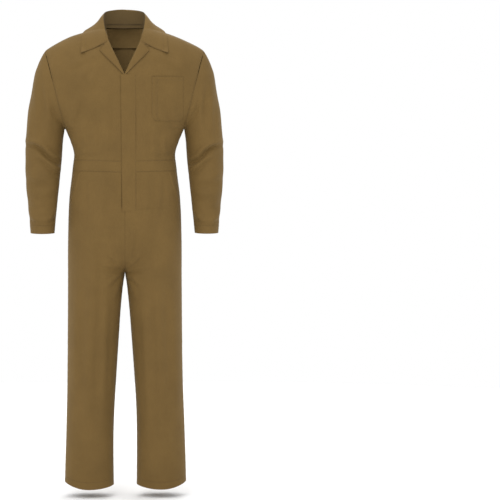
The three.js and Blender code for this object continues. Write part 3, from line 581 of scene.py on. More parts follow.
class Drape:
    """Adds folds and the slight unevenness of worn cloth to points on the form."""

    FULLNESS = 1.55  # how full every fold is, against its listed height

    def __init__(self, seed: int) -> None:
        """Prepare the unevenness.

        Args:
            seed: Seed of its pattern.
        """
        rng = np.random.default_rng(seed)
        count = 22
        wave = rng.uniform(14, 60, count)
        lean = rng.normal(0, 0.45, count)
        self.waves = np.stack([wave * np.cos(lean), wave * np.cos(lean),
            0.32 * wave * np.sin(lean) + rng.normal(0, 5, count)], -1)
        self.phase = rng.uniform(0, 2 * np.pi, (2, count))
        self.weight = (20 / wave) ** 1.1
        self.jitter = rng.uniform(-0.006, 0.006, 128)

    def unevenness(self, p: Array) -> Array:
        """Low, wandering swells that run mostly up and down.

        Args:
            p: Points on the form.

        Returns:
            The lift in metres.
        """
        bent = p + 0.012 * np.sin(9 * p[..., [2, 0, 1]] + 1.3)
        blend = smooth((p[..., 0] + 0.01) / 0.02)
        total = 0.0
        for k, (w, amount) in enumerate(zip(self.waves, self.weight)):
            angle = bent @ w
            total = total + amount * mix(np.sin(angle + self.phase[0, k]), np.sin(angle + self.phase[1, k]),
                blend)
        return 0.00042 * total

    def lift(self, p: Array, n: Array, folds: Sequence[Fold]) -> Array:
        """How far folds and unevenness move the cloth.

        Args:
            p: Points on the form.
            n: The form's outward normals.
            folds: The folds that reach these points.

        Returns:
            The lift along the normals.
        """
        total = self.unevenness(p)
        right = p[..., 0] < 0
        for k, f in enumerate(folds):
            for hand in (False, True):
                here = right == hand
                if here.any():
                    q = p[here]
                    total[here] += self.FULLNESS * f.lift(np.abs(q[:, 0]), q[:, 2], n[here][:, 1],
                        self.jitter[2 * (k % 60) + hand])
        return total


# ---- Cloth grids ---------------------------------------------------------------------------------


@dataclass
class Grid:
    """A sheet of cloth as rows of points.

    Attributes:
        points: Rows by columns by x, y, z; heights are still above the hems.
        normals: Outward normals of the same shape.
        uv: Cloth coordinates in metres, rows by columns by 2.
        closed: Whether the columns run all the way round.
        shade: How much painted shade darkens each point, as down in a seam, 0 to 1.
    """

    points: Array
    normals: Array
    uv: Array
    closed: bool = False
    shade: Array | None = None

    @classmethod
    def over(
        cls,
        surface: Callable[[Array, Array], Array],
        us: Array,
        vs: Array,
        hand: int = 1,
        closed: bool = False,
        flip: bool = False,
        finish: Callable[[Array, Array], Array] | None = None,
        crop: int = 0,
    ) -> "Grid":
        """Lay cloth over a surface.

        Args:
            surface: Points for arrays of u and v, on the wearer's left.
            us: Values across.
            vs: Values up.
            hand: 1 for the wearer's left, -1 for the mirrored right.
            closed: Whether the columns run all the way round.
            flip: Whether the surface's natural normal points inwards.
            finish: Lift along the normal, from points and normals.
            crop: Extra rows at each end that only steady the normals, then go.

        Returns:
            The grid.
        """
        u, v = np.meshgrid(us, vs)
        p = surface(u, v)
        p = p * np.array([hand, 1, 1])
        sign = (-1 if flip else 1) * hand
        n = cls.slopes(p, closed) * sign
        if finish is not None:
            p = p + n * finish(p, n)[..., None]
            n = cls.slopes(p, closed) * sign
        grid = cls(p, n, cls.flatten(p), closed)
        return grid.rows(crop, len(vs) - crop) if crop else grid

    @staticmethod
    def slopes(p: Array, closed: bool) -> Array:
        """Normals of a grid of points.

        Args:
            p: The points.
            closed: Whether the columns run all the way round.

        Returns:
            Unit normals, across times up.
        """
        if closed:
            across = np.roll(p, -1, 1) - np.roll(p, 1, 1)
        else:
            across = np.gradient(p, axis=1)
        return unit(np.cross(across, np.gradient(p, axis=0)))

    @staticmethod
    def flatten(p: Array) -> Array:
        """Cloth coordinates that keep lengths across and up.

        Args:
            p: The points.

        Returns:
            Coordinates in metres.
        """
        across = np.cumsum(np.linalg.norm(np.diff(p, axis=1, prepend=p[:, :1]), axis=-1), axis=1)
        up = np.cumsum(np.linalg.norm(np.diff(p, axis=0, prepend=p[:1]), axis=-1), axis=0)
        return np.stack([across - across.mean(1, keepdims=True), up], -1)

    def rows(self, start: int, stop: int) -> "Grid":
        """Cut rows out."""
        return self.part(slice(start, stop), slice(None), self.closed)

    def columns(self, start: int, stop: int) -> "Grid":
        """Cut columns out."""
        return self.part(slice(None), slice(start, stop), False)

    def part(self, rows: slice, columns: slice, closed: bool) -> "Grid":
        """Cut a part out."""
        shade = None if self.shade is None else self.shade[rows, columns]
        return Grid(self.points[rows, columns], self.normals[rows, columns], self.uv[rows, columns], closed,
            shade)

    def lifted(self, amount: Array | float) -> "Grid":
        """Move the sheet along its normals."""
        shift = np.broadcast_to(np.asarray(amount, float), self.points.shape[:2])[..., None]
        return Grid(self.points + self.normals * shift, self.normals, self.uv, self.closed, self.shade)

    def edge_distance(self, left: bool = True, right: bool = True, bottom: bool = True,
        top: bool = True) -> Array:
        """Distance of each point from the chosen edges, along the cloth.

        Args:
            left: Whether the first column counts.
            right: Whether the last column counts.
            bottom: Whether the first row counts.
            top: Whether the last row counts.

        Returns:
            The distances.
        """
        across = np.cumsum(np.linalg.norm(np.diff(self.points, axis=1, prepend=self.points[:, :1]),
            axis=-1), axis=1)
        up = np.cumsum(np.linalg.norm(np.diff(self.points, axis=0, prepend=self.points[:1]), axis=-1), axis=0)
        far = np.full(across.shape, 1.0)
        for wanted, distance in (
            (left, across), (right, across[:, -1:] - across), (bottom, up), (top, up[-1:] - up)
        ):
            if wanted:
                far = np.minimum(far, distance)
        return far

    def line(self, row: float | None = None, column: float | None = None, inset: float = 0.0) -> Array:
        """A line along the sheet, for a row of stitches.

        Args:
            row: Share of the way up, for a line across.
            column: Share of the way across, for a line upwards.
            inset: Height above the cloth.

        Returns:
            Points of the line.
        """
        p = self.points + self.normals * inset
        if row is not None:
            i = row * (len(p) - 1)
            k = min(int(i), len(p) - 2)
            return mix(p[k], p[k + 1], i - k)
        j = (column or 0.0) * (p.shape[1] - 1)
        k = min(int(j), p.shape[1] - 2)
        return mix(p[:, k], p[:, k + 1], j - k)


# ---- Materials -----------------------------------------------------------------------------------


class Socket:
    """A shader value that can be used in sums."""

    def __init__(self, shader: "Shader", socket: bpy.types.NodeSocket) -> None:
        """Wrap a node's output."""
        self.shader, self.socket = shader, socket

    def _math(self, operation: str, *others: "Socket | float", clamp: bool = False) -> "Socket":
        """Combine this value with others."""
        inputs = dict(enumerate((self, *others)))
        return self.shader.node("ShaderNodeMath", inputs, operation=operation, use_clamp=clamp)

    def __add__(self, other: "Socket | float") -> "Socket":
        """Add a value."""
        return self._math("ADD", other)

    def __sub__(self, other: "Socket | float") -> "Socket":
        """Take a value away."""
        return self._math("SUBTRACT", other)

    def __mul__(self, other: "Socket | float") -> "Socket":
        """Multiply by a value."""
        return self._math("MULTIPLY", other)

    def __rsub__(self, other: float) -> "Socket":
        """Take this value from a number."""
        return self._math("MULTIPLY_ADD", -1.0, other)

    __radd__, __rmul__ = __add__, __mul__

    def sine(self) -> "Socket":
        """Sine of this value."""
        return self._math("SINE")

    def power(self, exponent: float) -> "Socket":
        """Raise this value to a power."""
        return self._math("POWER", exponent)

    def ease(self, low: float, high: float) -> "Socket":
        """Ease from 0 to 1 between two values."""
        return self.shader.node("ShaderNodeMapRange", {0: self, 1: low, 2: high},
            interpolation_type="SMOOTHSTEP")


class Shader:
    """Builds one material."""

    def __init__(self, name: str) -> None:
        """Start a material.

        Args:
            name: Its name.
        """
        self.material = bpy.data.materials.new(name)
        self.material.use_nodes = True
        self.tree = self.material.node_tree
        self.tree.nodes.clear()

    def node(self, kind: str, inputs: dict | None = None, output: int | str = 0,
        **settings: object) -> Socket:
        """Make any node.

        Args:
            kind: The node's type.
            inputs: Values or sockets for its inputs.
            output: The output wanted.
            settings: Properties set on the node.

        Returns:
            The chosen output.
        """
        made = self.tree.nodes.new(kind)
        for key, value in settings.items():
            setattr(made, key, value)
        for key, value in (inputs or {}).items():
            if isinstance(value, Socket):
                self.tree.links.new(value.socket, made.inputs[key])
            else:
                made.inputs[key].default_value = value
        return Socket(self, made.outputs[output]) if made.outputs else None

    def colours(self, share: Socket, low: "Colour", high: "Colour") -> Socket:
        """Blend two colours.

        Args:
            share: 0 for the first, 1 for the second.
            low: First colour.
            high: Second colour.

        Returns:
            The blend.
        """
        return self.node(
            "ShaderNodeMix", {0: share, 6: low.linear, 7: high.linear}, output=2, data_type="RGBA"
        )

    def finish(self, **inputs: object) -> bpy.types.Material:
        """Close the material with one surface shader.

        Args:
            inputs: Inputs of the surface shader, with underscores for spaces.

        Returns:
            The material.
        """
        named = {key.replace("_", " "): value for key, value in inputs.items()}
        surface = self.node("ShaderNodeBsdfPrincipled", named)
        self.node("ShaderNodeOutputMaterial", {0: surface})
        return self.material


@dataclass(frozen=True)
class Colour:
    """A colour by its screen values.

    Attributes:
        red: 0 to 255.
        green: 0 to 255.
        blue: 0 to 255.
    """

    red: float
    green: float
    blue: float

    @property
    def linear(self) -> tuple[float, float, float, float]:
        """The colour as linear light, for shaders."""
        return (
            *(((v / 255 + 0.055) / 1.055) ** 2.4 if v > 10 else v / 3294
              for v in (self.red, self.green, self.blue)),
            1.0)


@dataclass(frozen=True)
class Twill:
    """Woven cotton twill.

    Attributes:
        name: The material's name.
        light: Colour of the raised yarns.
        dark: Colour between them.
        deep: Colour of the painted shade down in seams and along shadowed edges.
        pitch: Distance between twill lines.
        relief: Depth of the weave in the shading.
        fuzz: Strength of the soft sheen at the edges.
    """

    name: str
    light: Colour
    dark: Colour
    deep: "Colour"
    pitch: float = 1.1 * MM
    relief: float = 0.14
    fuzz: float = 0.12

    def make(self) -> bpy.types.Material:
        """Build the material.

        Returns:
            The material.
        """
        sh = Shader(self.name)
        uv = sh.node("ShaderNodeUVMap", uv_map="Cloth")
        place = sh.node("ShaderNodeTexCoord", output="Object")
        split = sh.node("ShaderNodeSeparateXYZ", {0: uv}, output=0)
        across = split
        up = Socket(sh, split.socket.node.outputs[1])
        turn = 2 * math.pi / self.pitch
        lines = ((across * 1.0 + up * 0.9) * turn).sine()
        picks = (up * (turn * 2.6)).sine()
        weave = lines * 0.75 + picks * 0.25
        patches = sh.node("ShaderNodeTexNoise",
            {"Vector": place, "Scale": 9.0, "Detail": 4.0, "Roughness": 0.6}, output="Fac")
        grain = sh.node("ShaderNodeTexNoise", {"Vector": place, "Scale": 900.0, "Detail": 2.0}, output="Fac")
        crease = sh.node("ShaderNodeTexNoise",
            {"Vector": place, "Scale": 34.0, "Detail": 5.0, "Roughness": 0.55}, output="Fac")
        share = (weave * 0.10 + 0.5) + (patches - 0.5) * 0.55 + (grain - 0.5) * 0.30
        plain = sh.colours(share.ease(0.0, 1.0), self.dark, self.light)
        # Painted shade: the mesh's shade attribute blends the colour towards the deep colour in seams, along
        # folded and lapped edges and under the collar, where shadow falls.
        seam = sh.node("ShaderNodeAttribute", output="Fac", attribute_name="Seam")
        colour = sh.node(
            "ShaderNodeMix", {0: seam, 6: plain, 7: self.deep.linear}, output=2, data_type="RGBA"
        )
        height = weave * (self.relief * 0.00012) + crease * 0.0016 + grain * 0.00004
        normal = sh.node("ShaderNodeBump", {"Height": height, "Distance": 1.0, "Strength": 1.0})
        rough = (patches - 0.5) * 0.12 + 0.80
        return sh.finish(
            Base_Color=colour, Roughness=rough, Normal=normal, Sheen_Weight=self.fuzz, Sheen_Roughness=0.55,
            Sheen_Tint=Colour(214, 190, 140).linear, Specular_IOR_Level=0.22,
        )


@dataclass(frozen=True)
class Thread:
    """Sewing thread.

    Attributes:
        name: The material's name.
        colour: Its colour.
    """

    name: str
    colour: Colour

    def make(self) -> bpy.types.Material:
        """Build the material.

        Returns:
            The material.
        """
        sh = Shader(self.name)
        place = sh.node("ShaderNodeTexCoord", output="Object")
        shade = sh.node("ShaderNodeTexNoise", {"Vector": place, "Scale": 420.0, "Detail": 1.0}, output="Fac")
        dark = Colour(self.colour.red * 0.8, self.colour.green * 0.8, self.colour.blue * 0.78)
        colour = sh.colours(shade.ease(0.3, 0.7), dark, self.colour)
        return sh.finish(Base_Color=colour, Roughness=0.62, Specular_IOR_Level=0.35)


@dataclass(frozen=True)
class Brass:
    """Aged brass of the zip.

    Attributes:
        name: The material's name.
        colour: Its polished colour.
        tarnish: Its dulled colour.
    """

    name: str
    colour: Colour
    tarnish: Colour

    def make(self) -> bpy.types.Material:
        """Build the material.

        Returns:
            The material.
        """
        sh = Shader(self.name)
        place = sh.node("ShaderNodeTexCoord", output="Object")
        spots = sh.node("ShaderNodeTexNoise", {"Vector": place, "Scale": 260.0, "Detail": 4.0}, output="Fac")
        share = spots.ease(0.35, 0.62)
        colour = sh.colours(share, self.tarnish, self.colour)
        rough = share * -0.22 + 0.48
        return sh.finish(Base_Color=colour, Metallic=1.0, Roughness=rough)


@dataclass(frozen=True)
class Plain:
    """A plain painted surface, for the studio floor.

    Attributes:
        name: The material's name.
        colour: Its colour.
        roughness: Its roughness.
    """

    name: str
    colour: Colour
    roughness: float = 0.9

    def make(self) -> bpy.types.Material:
        """Build the material."""
        sh = Shader(self.name)
        return sh.finish(Base_Color=self.colour.linear, Roughness=self.roughness, Specular_IOR_Level=0.1)


class Finish(Enum):
    """Every finish on the suit."""

    # The third colour of each twill is its painted seam shade.
    CLOTH = Twill("khaki twill", Colour(116, 91, 49), Colour(88, 67, 31), Colour(56, 41, 17))
    # The wrong side of the twill is painted lighter than the outside: painted light that makes up for the
    # shade inside the suit, on every lining face and inner piece.
    INSIDE = Twill("wrong side of the twill", Colour(150, 122, 75), Colour(124, 100, 59),
        Colour(70, 54, 28), relief=0.08, fuzz=0.06)
    STAND = Twill("under side of the collar", Colour(94, 76, 44), Colour(76, 59, 32), Colour(46, 34, 15),
        relief=0.08, fuzz=0.04)
    RIB = Twill("ribbed elastic", Colour(108, 88, 52), Colour(78, 61, 34), Colour(54, 41, 20),
        pitch=2.4 * MM, relief=0.5)
    TAPE = Twill("zip tape", Colour(100, 80, 46), Colour(76, 58, 31), Colour(52, 40, 20), pitch=0.7 * MM,
        relief=0.2, fuzz=0.03)
    THREAD = Thread("topstitch thread", Colour(110, 86, 47))
    METAL = Brass("brass", Colour(196, 160, 92), Colour(120, 94, 50))
    PAPER = Plain("studio paper", Colour(248, 248, 248))

    @property
    def material(self) -> bpy.types.Material:
        """The finish's material, made when first asked for."""
        return bpy.data.materials.get(self.value.name) or self.value.make()


# ---- Making and placing pieces -------------------------------------------------------------------


@dataclass(frozen=True)
class Hold:
    """What a piece moves with.

    Attributes:
        body: The body it follows, or the body before the joint if it crosses one.
        onto: The body after the joint, if it crosses one.
        start: Where the joint's reach starts, in the row frame; not used.
        end: Where it ends; not used.
    """

    body: str
    onto: str | None = None
    start: tuple[float, float, float] = (0, 0, 0)
    end: tuple[float, float, float] = (0, 0, 0)

    def apply(self, piece: bpy.types.Object) -> None:
        """Fix a piece to its body; a piece that crosses a joint only has its transform baked.

        Args:
            piece: The finished mesh.
        """
        if self.onto is None:
            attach(piece, self.body)
        else:
            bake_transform(piece)


TORSO = Hold("torso")


def mesh_object(name: str, points: Array, faces: Sequence[Sequence[int]], finish: Finish,
    smooth_faces: bool = True) -> bpy.types.Object:
    """Make a mesh object at the origin.

    Args:
        name: Its name.
        points: Vertices in the row frame.
        faces: Vertex numbers of each face.
        finish: Its finish.
        smooth_faces: Whether it is shaded smooth.

    Returns:
        The object.
    """
    mesh = bpy.data.meshes.new(name)
    mesh.from_pydata(points.tolist(), [], [list(f) for f in faces])
    if smooth_faces:
        mesh.shade_smooth()
    mesh.materials.append(finish.material)
    made = bpy.data.objects.new(name, mesh)
    bpy.context.scene.collection.objects.link(made)
    return made


def cloth_object(name: str, grid: Grid, floor: float, thickness: float, finish: Finish) -> bpy.types.Object:
    """Give a sheet its thickness and make it one closed mesh.

    Args:
        name: The object's name.
        grid: The sheet's outer face.
        floor: Height of the hems in the row frame.
        thickness: Thickness of the cloth.
        finish: Its finish.

    Returns:
        The object.
    """
    rows, columns = grid.points.shape[:2]
    inner = grid.points - grid.normals * thickness
    points = np.concatenate([grid.points.reshape(-1, 3), inner.reshape(-1, 3)]) + np.array([0, 0, floor])
    normals = np.concatenate([grid.normals.reshape(-1, 3), -grid.normals.reshape(-1, 3)])
    index = np.arange(rows * columns).reshape(rows, columns)
    far = rows * columns
    if grid.closed:
        right = np.roll(index, -1, axis=1)
        a, b = index[:-1], right[:-1]
        d, c = index[1:], right[1:]
    else:
        a, b, c, d = index[:-1, :-1], index[:-1, 1:], index[1:, 1:], index[1:, :-1]
    skin = np.stack([a, b, c, d], -1).reshape(-1, 4)
    lining = np.stack([a, d, c, b], -1).reshape(-1, 4) + far

    def rim(line: Array) -> Array:
        """Faces that join the two skins along an edge."""
        s, e = line[:-1], line[1:]
        return np.stack([e, s, s + far, e + far], -1)

    if grid.closed:
        low, high = np.append(index[0], index[0, 0]), np.append(index[-1], index[-1, 0])[::-1]
        rims = np.concatenate([rim(low), rim(high)])
    else:
        rims = np.concatenate([rim(index[0]), rim(index[:, -1]), rim(index[-1][::-1]), rim(index[::-1, 0])])
    faces = np.concatenate([skin, lining, rims])
    sign = np.einsum("ij,ij->i", np.cross(points[skin[:, 1]] - points[skin[:, 0]],
        points[skin[:, 3]] - points[skin[:, 0]]), normals[skin[:, 0]])
    if sign.sum() < 0:
        faces = faces[:, ::-1]
    made = mesh_object(name, points, faces, finish)
    mesh = made.data
    # Lining faces take the inside twill, painted lighter than the outside.
    mesh.materials.append(Finish.INSIDE.material)
    kinds = np.zeros(len(faces), np.int32)
    kinds[len(skin):2 * len(skin)] = 1
    mesh.polygons.foreach_set("material_index", kinds)
    # Painted shade of the outer skin, kept as a point attribute that darkens the twill's colour.
    shade = np.zeros(len(points), np.float32)
    if grid.shade is not None:
        shade[:far] = grid.shade.ravel()
    mesh.attributes.new("Seam", "FLOAT", "POINT").data.foreach_set("value", shade)
    uv = mesh.uv_layers.new(name="Cloth")
    flat = np.concatenate([grid.uv.reshape(-1, 2), grid.uv.reshape(-1, 2)])
    loops = np.zeros(len(mesh.loops), np.int32)
    mesh.loops.foreach_get("vertex_index", loops)
    uv.data.foreach_set("uv", flat[loops].astype(np.float32).ravel())
    edge_faces = len(skin) * 2
    corner = normals[loops]
    counts = np.zeros(len(mesh.polygons), np.int32)
    mesh.polygons.foreach_get("loop_total", counts)
    rim_start = counts[:edge_faces].sum()
    flat_normals = np.array([p.normal for p in mesh.polygons[edge_faces:]])
    corner[rim_start:] = np.repeat(flat_normals, counts[edge_faces:], axis=0)
    mesh.normals_split_custom_set(corner.tolist())
    return made


class Stitcher:
    """Collects lines of stitches and sews them with Geometry Nodes."""

    PITCH = 3.4 * MM
    THREAD = 0.34 * MM

    def __init__(self, floor: float) -> None:
        """Start with no stitches.

        Args:
            floor: Height of the hems in the row frame.
        """
        self.floor = floor
        self.lines: dict[Hold, list[Array]] = {}
        self.tree = self._tree()

    def add(self, hold: Hold, *lines: Array) -> None:
        """Add lines to be stitched."""
        self.lines.setdefault(hold, []).extend(lines)

    @staticmethod
    def _stitch() -> bpy.types.Object:
        """One stitch: a short, plump length of thread along X.

        Returns:
            The object, one unit long.
        """
        rings, sides = ((-0.5, 0.25), (-0.28, 0.95), (0.28, 0.95), (0.5, 0.25)), 5
        points = [
            (x, r * math.cos(2 * math.pi * k / sides), r * math.sin(2 * math.pi * k / sides))
            for x, r in rings for k in range(sides)
        ]
        faces: list[list[int]] = [list(range(sides))[::-1], [15 + k for k in range(sides)]]
        for ring in range(3):
            for k in range(sides):
                n = (k + 1) % sides
                faces.append([ring * sides + k, ring * sides + n, (ring + 1) * sides + n,
                    (ring + 1) * sides + k])
        return mesh_object("one stitch", np.array(points), faces, Finish.THREAD)

    @staticmethod
    def _tree() -> bpy.types.NodeTree:
        """The node group that sews.

        Returns:
            The group.
        """
        tree = bpy.data.node_groups.new("sew along lines", "GeometryNodeTree")
        face = tree.interface
        for name, kind in (("Lines", "Geometry"), ("Stitch", "Object"), ("Pitch", "Float"),
            ("Length", "Float"),
                           ("Thread", "Float"), ("Seed", "Int"), ("Finish", "Material")):
            face.new_socket(name, in_out="INPUT", socket_type=f"NodeSocket{kind}")
        face.new_socket("Stitches", in_out="OUTPUT", socket_type="NodeSocketGeometry")
        nodes, link = tree.nodes, tree.links.new
        given = nodes.new("NodeGroupInput").outputs
        out = nodes.new("NodeGroupOutput").inputs

        def node(kind: str, inputs: dict, output: int | str = 0, **settings: object) -> bpy.types.NodeSocket:
            """Make one node.

            Args:
                kind: Its type.
                inputs: Its inputs.
                output: The output wanted.
                settings: Its properties.

            Returns:
                The output.
            """
            made = nodes.new(kind)
            for key, value in settings.items():
                setattr(made, key, value)
            for key, value in inputs.items():
                if isinstance(value, bpy.types.NodeSocket):
                    link(value, made.inputs[key])
                else:
                    made.inputs[key].default_value = value
            return made.outputs[output]

        curves = node("GeometryNodeMeshToCurve", {"Mesh": given["Lines"]})
        even = node("GeometryNodeResampleCurve", {"Curve": curves, "Length": given["Pitch"]}, mode="LENGTH")
        tangent = node("GeometryNodeInputTangent", {})
        turn = node("FunctionNodeAlignRotationToVector", {"Vector": tangent}, axis="X")
        stitch = node("GeometryNodeObjectInfo", {"Object": given["Stitch"]}, output="Geometry")
        uneven = node("FunctionNodeRandomValue", {2: 0.86, 3: 1.0, "Seed": given["Seed"]}, output=1)
        length = node("ShaderNodeMath", {0: given["Length"], 1: uneven}, operation="MULTIPLY")
        size = node("ShaderNodeCombineXYZ", {"X": length, "Y": given["Thread"], "Z": given["Thread"]})
        placed = node("GeometryNodeInstanceOnPoints",
            {"Points": even, "Instance": stitch, "Rotation": turn, "Scale": size})
        real = node("GeometryNodeRealizeInstances", {"Geometry": placed})
        done = node("GeometryNodeSetMaterial", {"Geometry": real, "Material": given["Finish"]})
        link(done, out[0])
        return tree

    def sew(self) -> list[bpy.types.Object]:
        """Turn every collected line into stitches.

        Returns:
            One object of stitches for each thing they move with.
        """
        stitch = self._stitch()
        made = []
        for hold, lines in self.lines.items():
            points = np.concatenate(lines) + np.array([0, 0, self.floor])
            mesh = bpy.data.meshes.new("stitch lines")
            edges, start = [], 0
            for line in lines:
                edges += [(start + k, start + k + 1) for k in range(len(line) - 1)]
                start += len(line)
            mesh.from_pydata(points.tolist(), edges, [])
            name = "stitches_" + hold.body + ("_to_" + hold.onto if hold.onto else "")
            guide = bpy.data.objects.new(name, mesh)
            bpy.context.scene.collection.objects.link(guide)
            settings = {"Stitch": stitch, "Pitch": self.PITCH, "Length": self.PITCH * 0.78,
                "Thread": self.THREAD,
                        "Seed": SEED, "Finish": Finish.THREAD.material}
            piece = grow(guide, self.tree, settings)
            hold.apply(piece)
            made.append(piece)
        bpy.data.objects.remove(stitch)
        return made


def grow(guide: bpy.types.Object, tree: bpy.types.NodeTree, settings: dict[str, object]) -> bpy.types.Object:
    """Run a node group on a guide and keep its result as a plain mesh.

    Args:
        guide: The object the group works on; it is used up.
        tree: The node group.
        settings: Values for the group's named inputs.

    Returns:
        The finished object.
    """
    modifier = guide.modifiers.new("grow", "NODES")
    modifier.node_group = tree
    for item in tree.interface.items_tree:
        if item.in_out == "INPUT" and item.name in settings:
            modifier[item.identifier] = settings[item.name]
    bpy.context.view_layer.update()
    seen = guide.evaluated_get(bpy.context.evaluated_depsgraph_get())
    mesh = bpy.data.meshes.new_from_object(seen)
    guide.modifiers.clear()
    name = guide.name
    bpy.data.objects.remove(guide)
    mesh.shade_smooth()
    made = bpy.data.objects.new(name, mesh)
    bpy.context.scene.collection.objects.link(made)
    return made


# ---- The workshop --------------------------------------------------------------------------------

THICKNESS = 1.0 * MM
SEAM_SINK = 0.9 * MM
SEAM_REACH = 1.5 * MM
STITCH_RISE = 0.15 * MM
STEP = 4.0 * MM


def spaced(start: float, stop: float, length: float, near: Sequence[float] = ()) -> Array:
    """Even steps along an edge, with closer ones beside each seam.

    Args:
        start: First value.
        stop: Last value.
        length: Length of the edge in metres.
        near: Values of the seams.

    Returns:
        The values, rising.
    """
    scale = (stop - start) / length
    even = np.linspace(start, stop, max(3, round(length / STEP) + 1))
    close = [np.asarray(n + np.array([-4, -2.5, -1.5, -0.8, 0, 0.8, 1.5, 2.5, 4]) * MM * scale) for n in near]
    values = np.concatenate([even, *close]) if close else even
    values = np.unique(np.clip(values, start, stop).round(7))
    kept = [values[0]]
    exact = {round(n, 7) for n in near}
    for value in values[1:]:
        if value - kept[-1] < 0.5 * MM * scale and round(value, 7) not in exact:
            continue
        if value - kept[-1] < 0.5 * MM * scale and round(kept[-1], 7) not in exact and len(kept) > 1:
            kept[-1] = value
        else:
            kept.append(value)
    kept[-1] = stop
    return np.array(kept)


def walk(p: Array, axis: int) -> Array:
    """Distance along a grid's rows or columns."""
    first = p[:1] if axis == 0 else p[:, :1]
    return np.cumsum(np.linalg.norm(np.diff(p, axis=axis, prepend=first), axis=-1), axis=axis)


def from_line(p: Array, ends: tuple[tuple[float, float], tuple[float, float]]) -> Array:
    """Distance of points from a straight line seen from the front, the same on both sides of the suit.

    Args:
        p: The points.
        ends: Distance from the centre and height of its two ends.

    Returns:
        The distances.
    """
    a, b = np.array(ends[0]), np.array(ends[1])
    flat = np.stack([np.abs(p[..., 0]), p[..., 2]], -1) - a
    share = np.clip(flat @ (b - a) / ((b - a) @ (b - a)), 0, 1)
    return np.linalg.norm(flat - share[..., None] * (b - a), axis=-1)


def edges(p: Array, left: float = 0, right: float = 0, bottom: float = 0, top: float = 0) -> Seams:
    """The seams along a grid's edges.

    Args:
        p: Points of the grid.
        left: Depth of the seam at the first column, 0 for none.
        right: The same at the last column.
        bottom: The same at the first row.
        top: The same at the last row.

    Returns:
        The seams.
    """
    across, up = walk(p, 1), walk(p, 0)
    found = ((across, left), (across[:, -1:] - across, right), (up, bottom), (up[-1:] - up, top))
    return [(distance, depth) for distance, depth in found if depth > 0]


@dataclass
class Workshop:
    """Everything that the sub-assemblies share.

    Attributes:
        sizes: Lengths read from the frame.
        form: The worn shape.
        drape: Folds and unevenness.
        stitcher: Lines still to be sewn.
        pieces: Names of the pieces made so far.
    """

    sizes: Sizes
    form: Form
    drape: Drape
    stitcher: Stitcher
    pieces: list[str] = field(default_factory=list)

    def hold(self, limb: str, hand: int) -> Hold:
        """The hold of a panel that crosses a joint: the bodies on either side and the joint's reach.

        Args:
            limb: shoulder, elbow, hip or knee.
            hand: 1 for the wearer's left, -1 for the right.

        Returns:
            The hold.
        """
        s, side = self.sizes, SIDES[hand]
        if limb == "shoulder":
            start, way, reach, bodies = (
                (s.underarm_half, 0, s.underarm), (0.45, 0, -0.893), 0.048, ("torso", f"{side}_upper_arm"))
        elif limb == "elbow":
            start, way, reach, bodies = (0, 0, 1.175), (0, 0, -1), 0.070, (f"{side}_upper_arm",
                f"{side}_forearm")
        elif limb == "hip":
            start, way, reach, bodies = (0, 0, CROTCH_HEIGHT), (0.507, 0, -0.862), FORK_RISE, ("torso",
                f"{side}_thigh")
        else:
            start, way, reach, bodies = (0, 0, 0.490), (0, 0, -1), 0.140, (f"{side}_thigh", f"{side}_shin")
        begin = (start[0] * hand, start[1], start[2] + s.floor)
        end = tuple(b + w * reach for b, w in zip(begin, (way[0] * hand, way[1], way[2])))
        return Hold(*bodies, begin, end)

    def worn(
        self, folds: Sequence[Fold], seams: Callable[[Array], Seams] = edges, relax: float = 0.024
    ) -> Callable[[Array, Array], Array]:
        """The lift of a panel as it is worn: folds that die out at the seams, and seams that sink in.

        Args:
            folds: Folds that reach the panel.
            seams: The panel's seams, from its points.
            relax: Distance from a seam at which folds are at full height.

        Returns:
            A function of points and normals.
        """

        def lift(p: Array, n: Array) -> Array:
            """Lift of these points. Args: p: points. n: normals. Returns: the lift."""
            uneven = self.drape.unevenness(p)
            total = self.drape.lift(p, n, folds)
            found = seams(p)
            if not found:
                return total
            far = np.minimum.reduce([distance for distance, _ in found])
            sink = np.maximum.reduce([depth * bump(distance, SEAM_REACH) for distance, depth in found])
            pucker = 0.00018 * np.sin(walk(p, 0) / 0.0042) * bump(far, 0.006)
            return uneven + (total - uneven) * smooth(0.12 + far / relax) + pucker - SEAM_SINK * sink

        return lift

    def shaded(self, grid: Grid, seams: Seams, reach: float = 1.3 * MM) -> Grid:
        """Paint shade into the cloth's colour down its seams and along other lines where shadow falls.

        Args:
            grid: The sheet.
            seams: The seams and other lines that take painted shadow.
            reach: Half width of the painted dark line.

        Returns:
            The same grid.
        """
        for distance, depth in seams:
            dark = 0.9 * depth * bump(distance, reach)
            grid.shade = dark if grid.shade is None else np.maximum(grid.shade, dark)
        return grid

    def make(
        self,
        name: str,
        grid: Grid,
        hold: Hold,
        nodes: Sequence[str] = (),
        thickness: float = THICKNESS,
        finish: Finish = Finish.CLOTH,
        slot: str = "twill",
    ) -> bpy.types.Object:
        """Make one panel and fix it to its body.

        Args:
            name: The piece's name.
            grid: Its outer face.
            hold: What it moves with.
            nodes: CAD nodes it stands for.
            thickness: Thickness of the cloth.
            finish: Its finish.
            slot: Not used.

        Returns:
            The piece.
        """
        piece = cloth_object(name + "_cloth", grid, self.sizes.floor, thickness, finish)
        hold.apply(piece)
        if nodes:
            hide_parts(*nodes)
        p = grid.points
        wide, long = walk(p, 1)[:, -1].max(), walk(p, 0)[-1].max()
        if grid.closed:
            wide += float(np.linalg.norm(p[:, 0] - p[:, -1], axis=-1).max())
        ring = np.concatenate([p, p[:, :1]], 1) if grid.closed else p
        a, b = np.diff(ring, axis=1)[:-1], np.diff(ring, axis=0)[:, :-1]
        area = float(np.linalg.norm(np.cross(a, b), axis=-1).sum())
        self.report(piece, f"cut {wide * 1000:.0f} x {long * 1000:.0f} mm, {area:.3f} m2")
        return piece

    def report(self, piece: bpy.types.Object, words: str) -> None:
        """Log a finished piece."""
        self.pieces.append(piece.name)
        log.info("%s: %s", piece.name, words)


SIDES = {1: "left", -1: "right"}


# ---- Bodice --------------------------------------------------------------------------------------


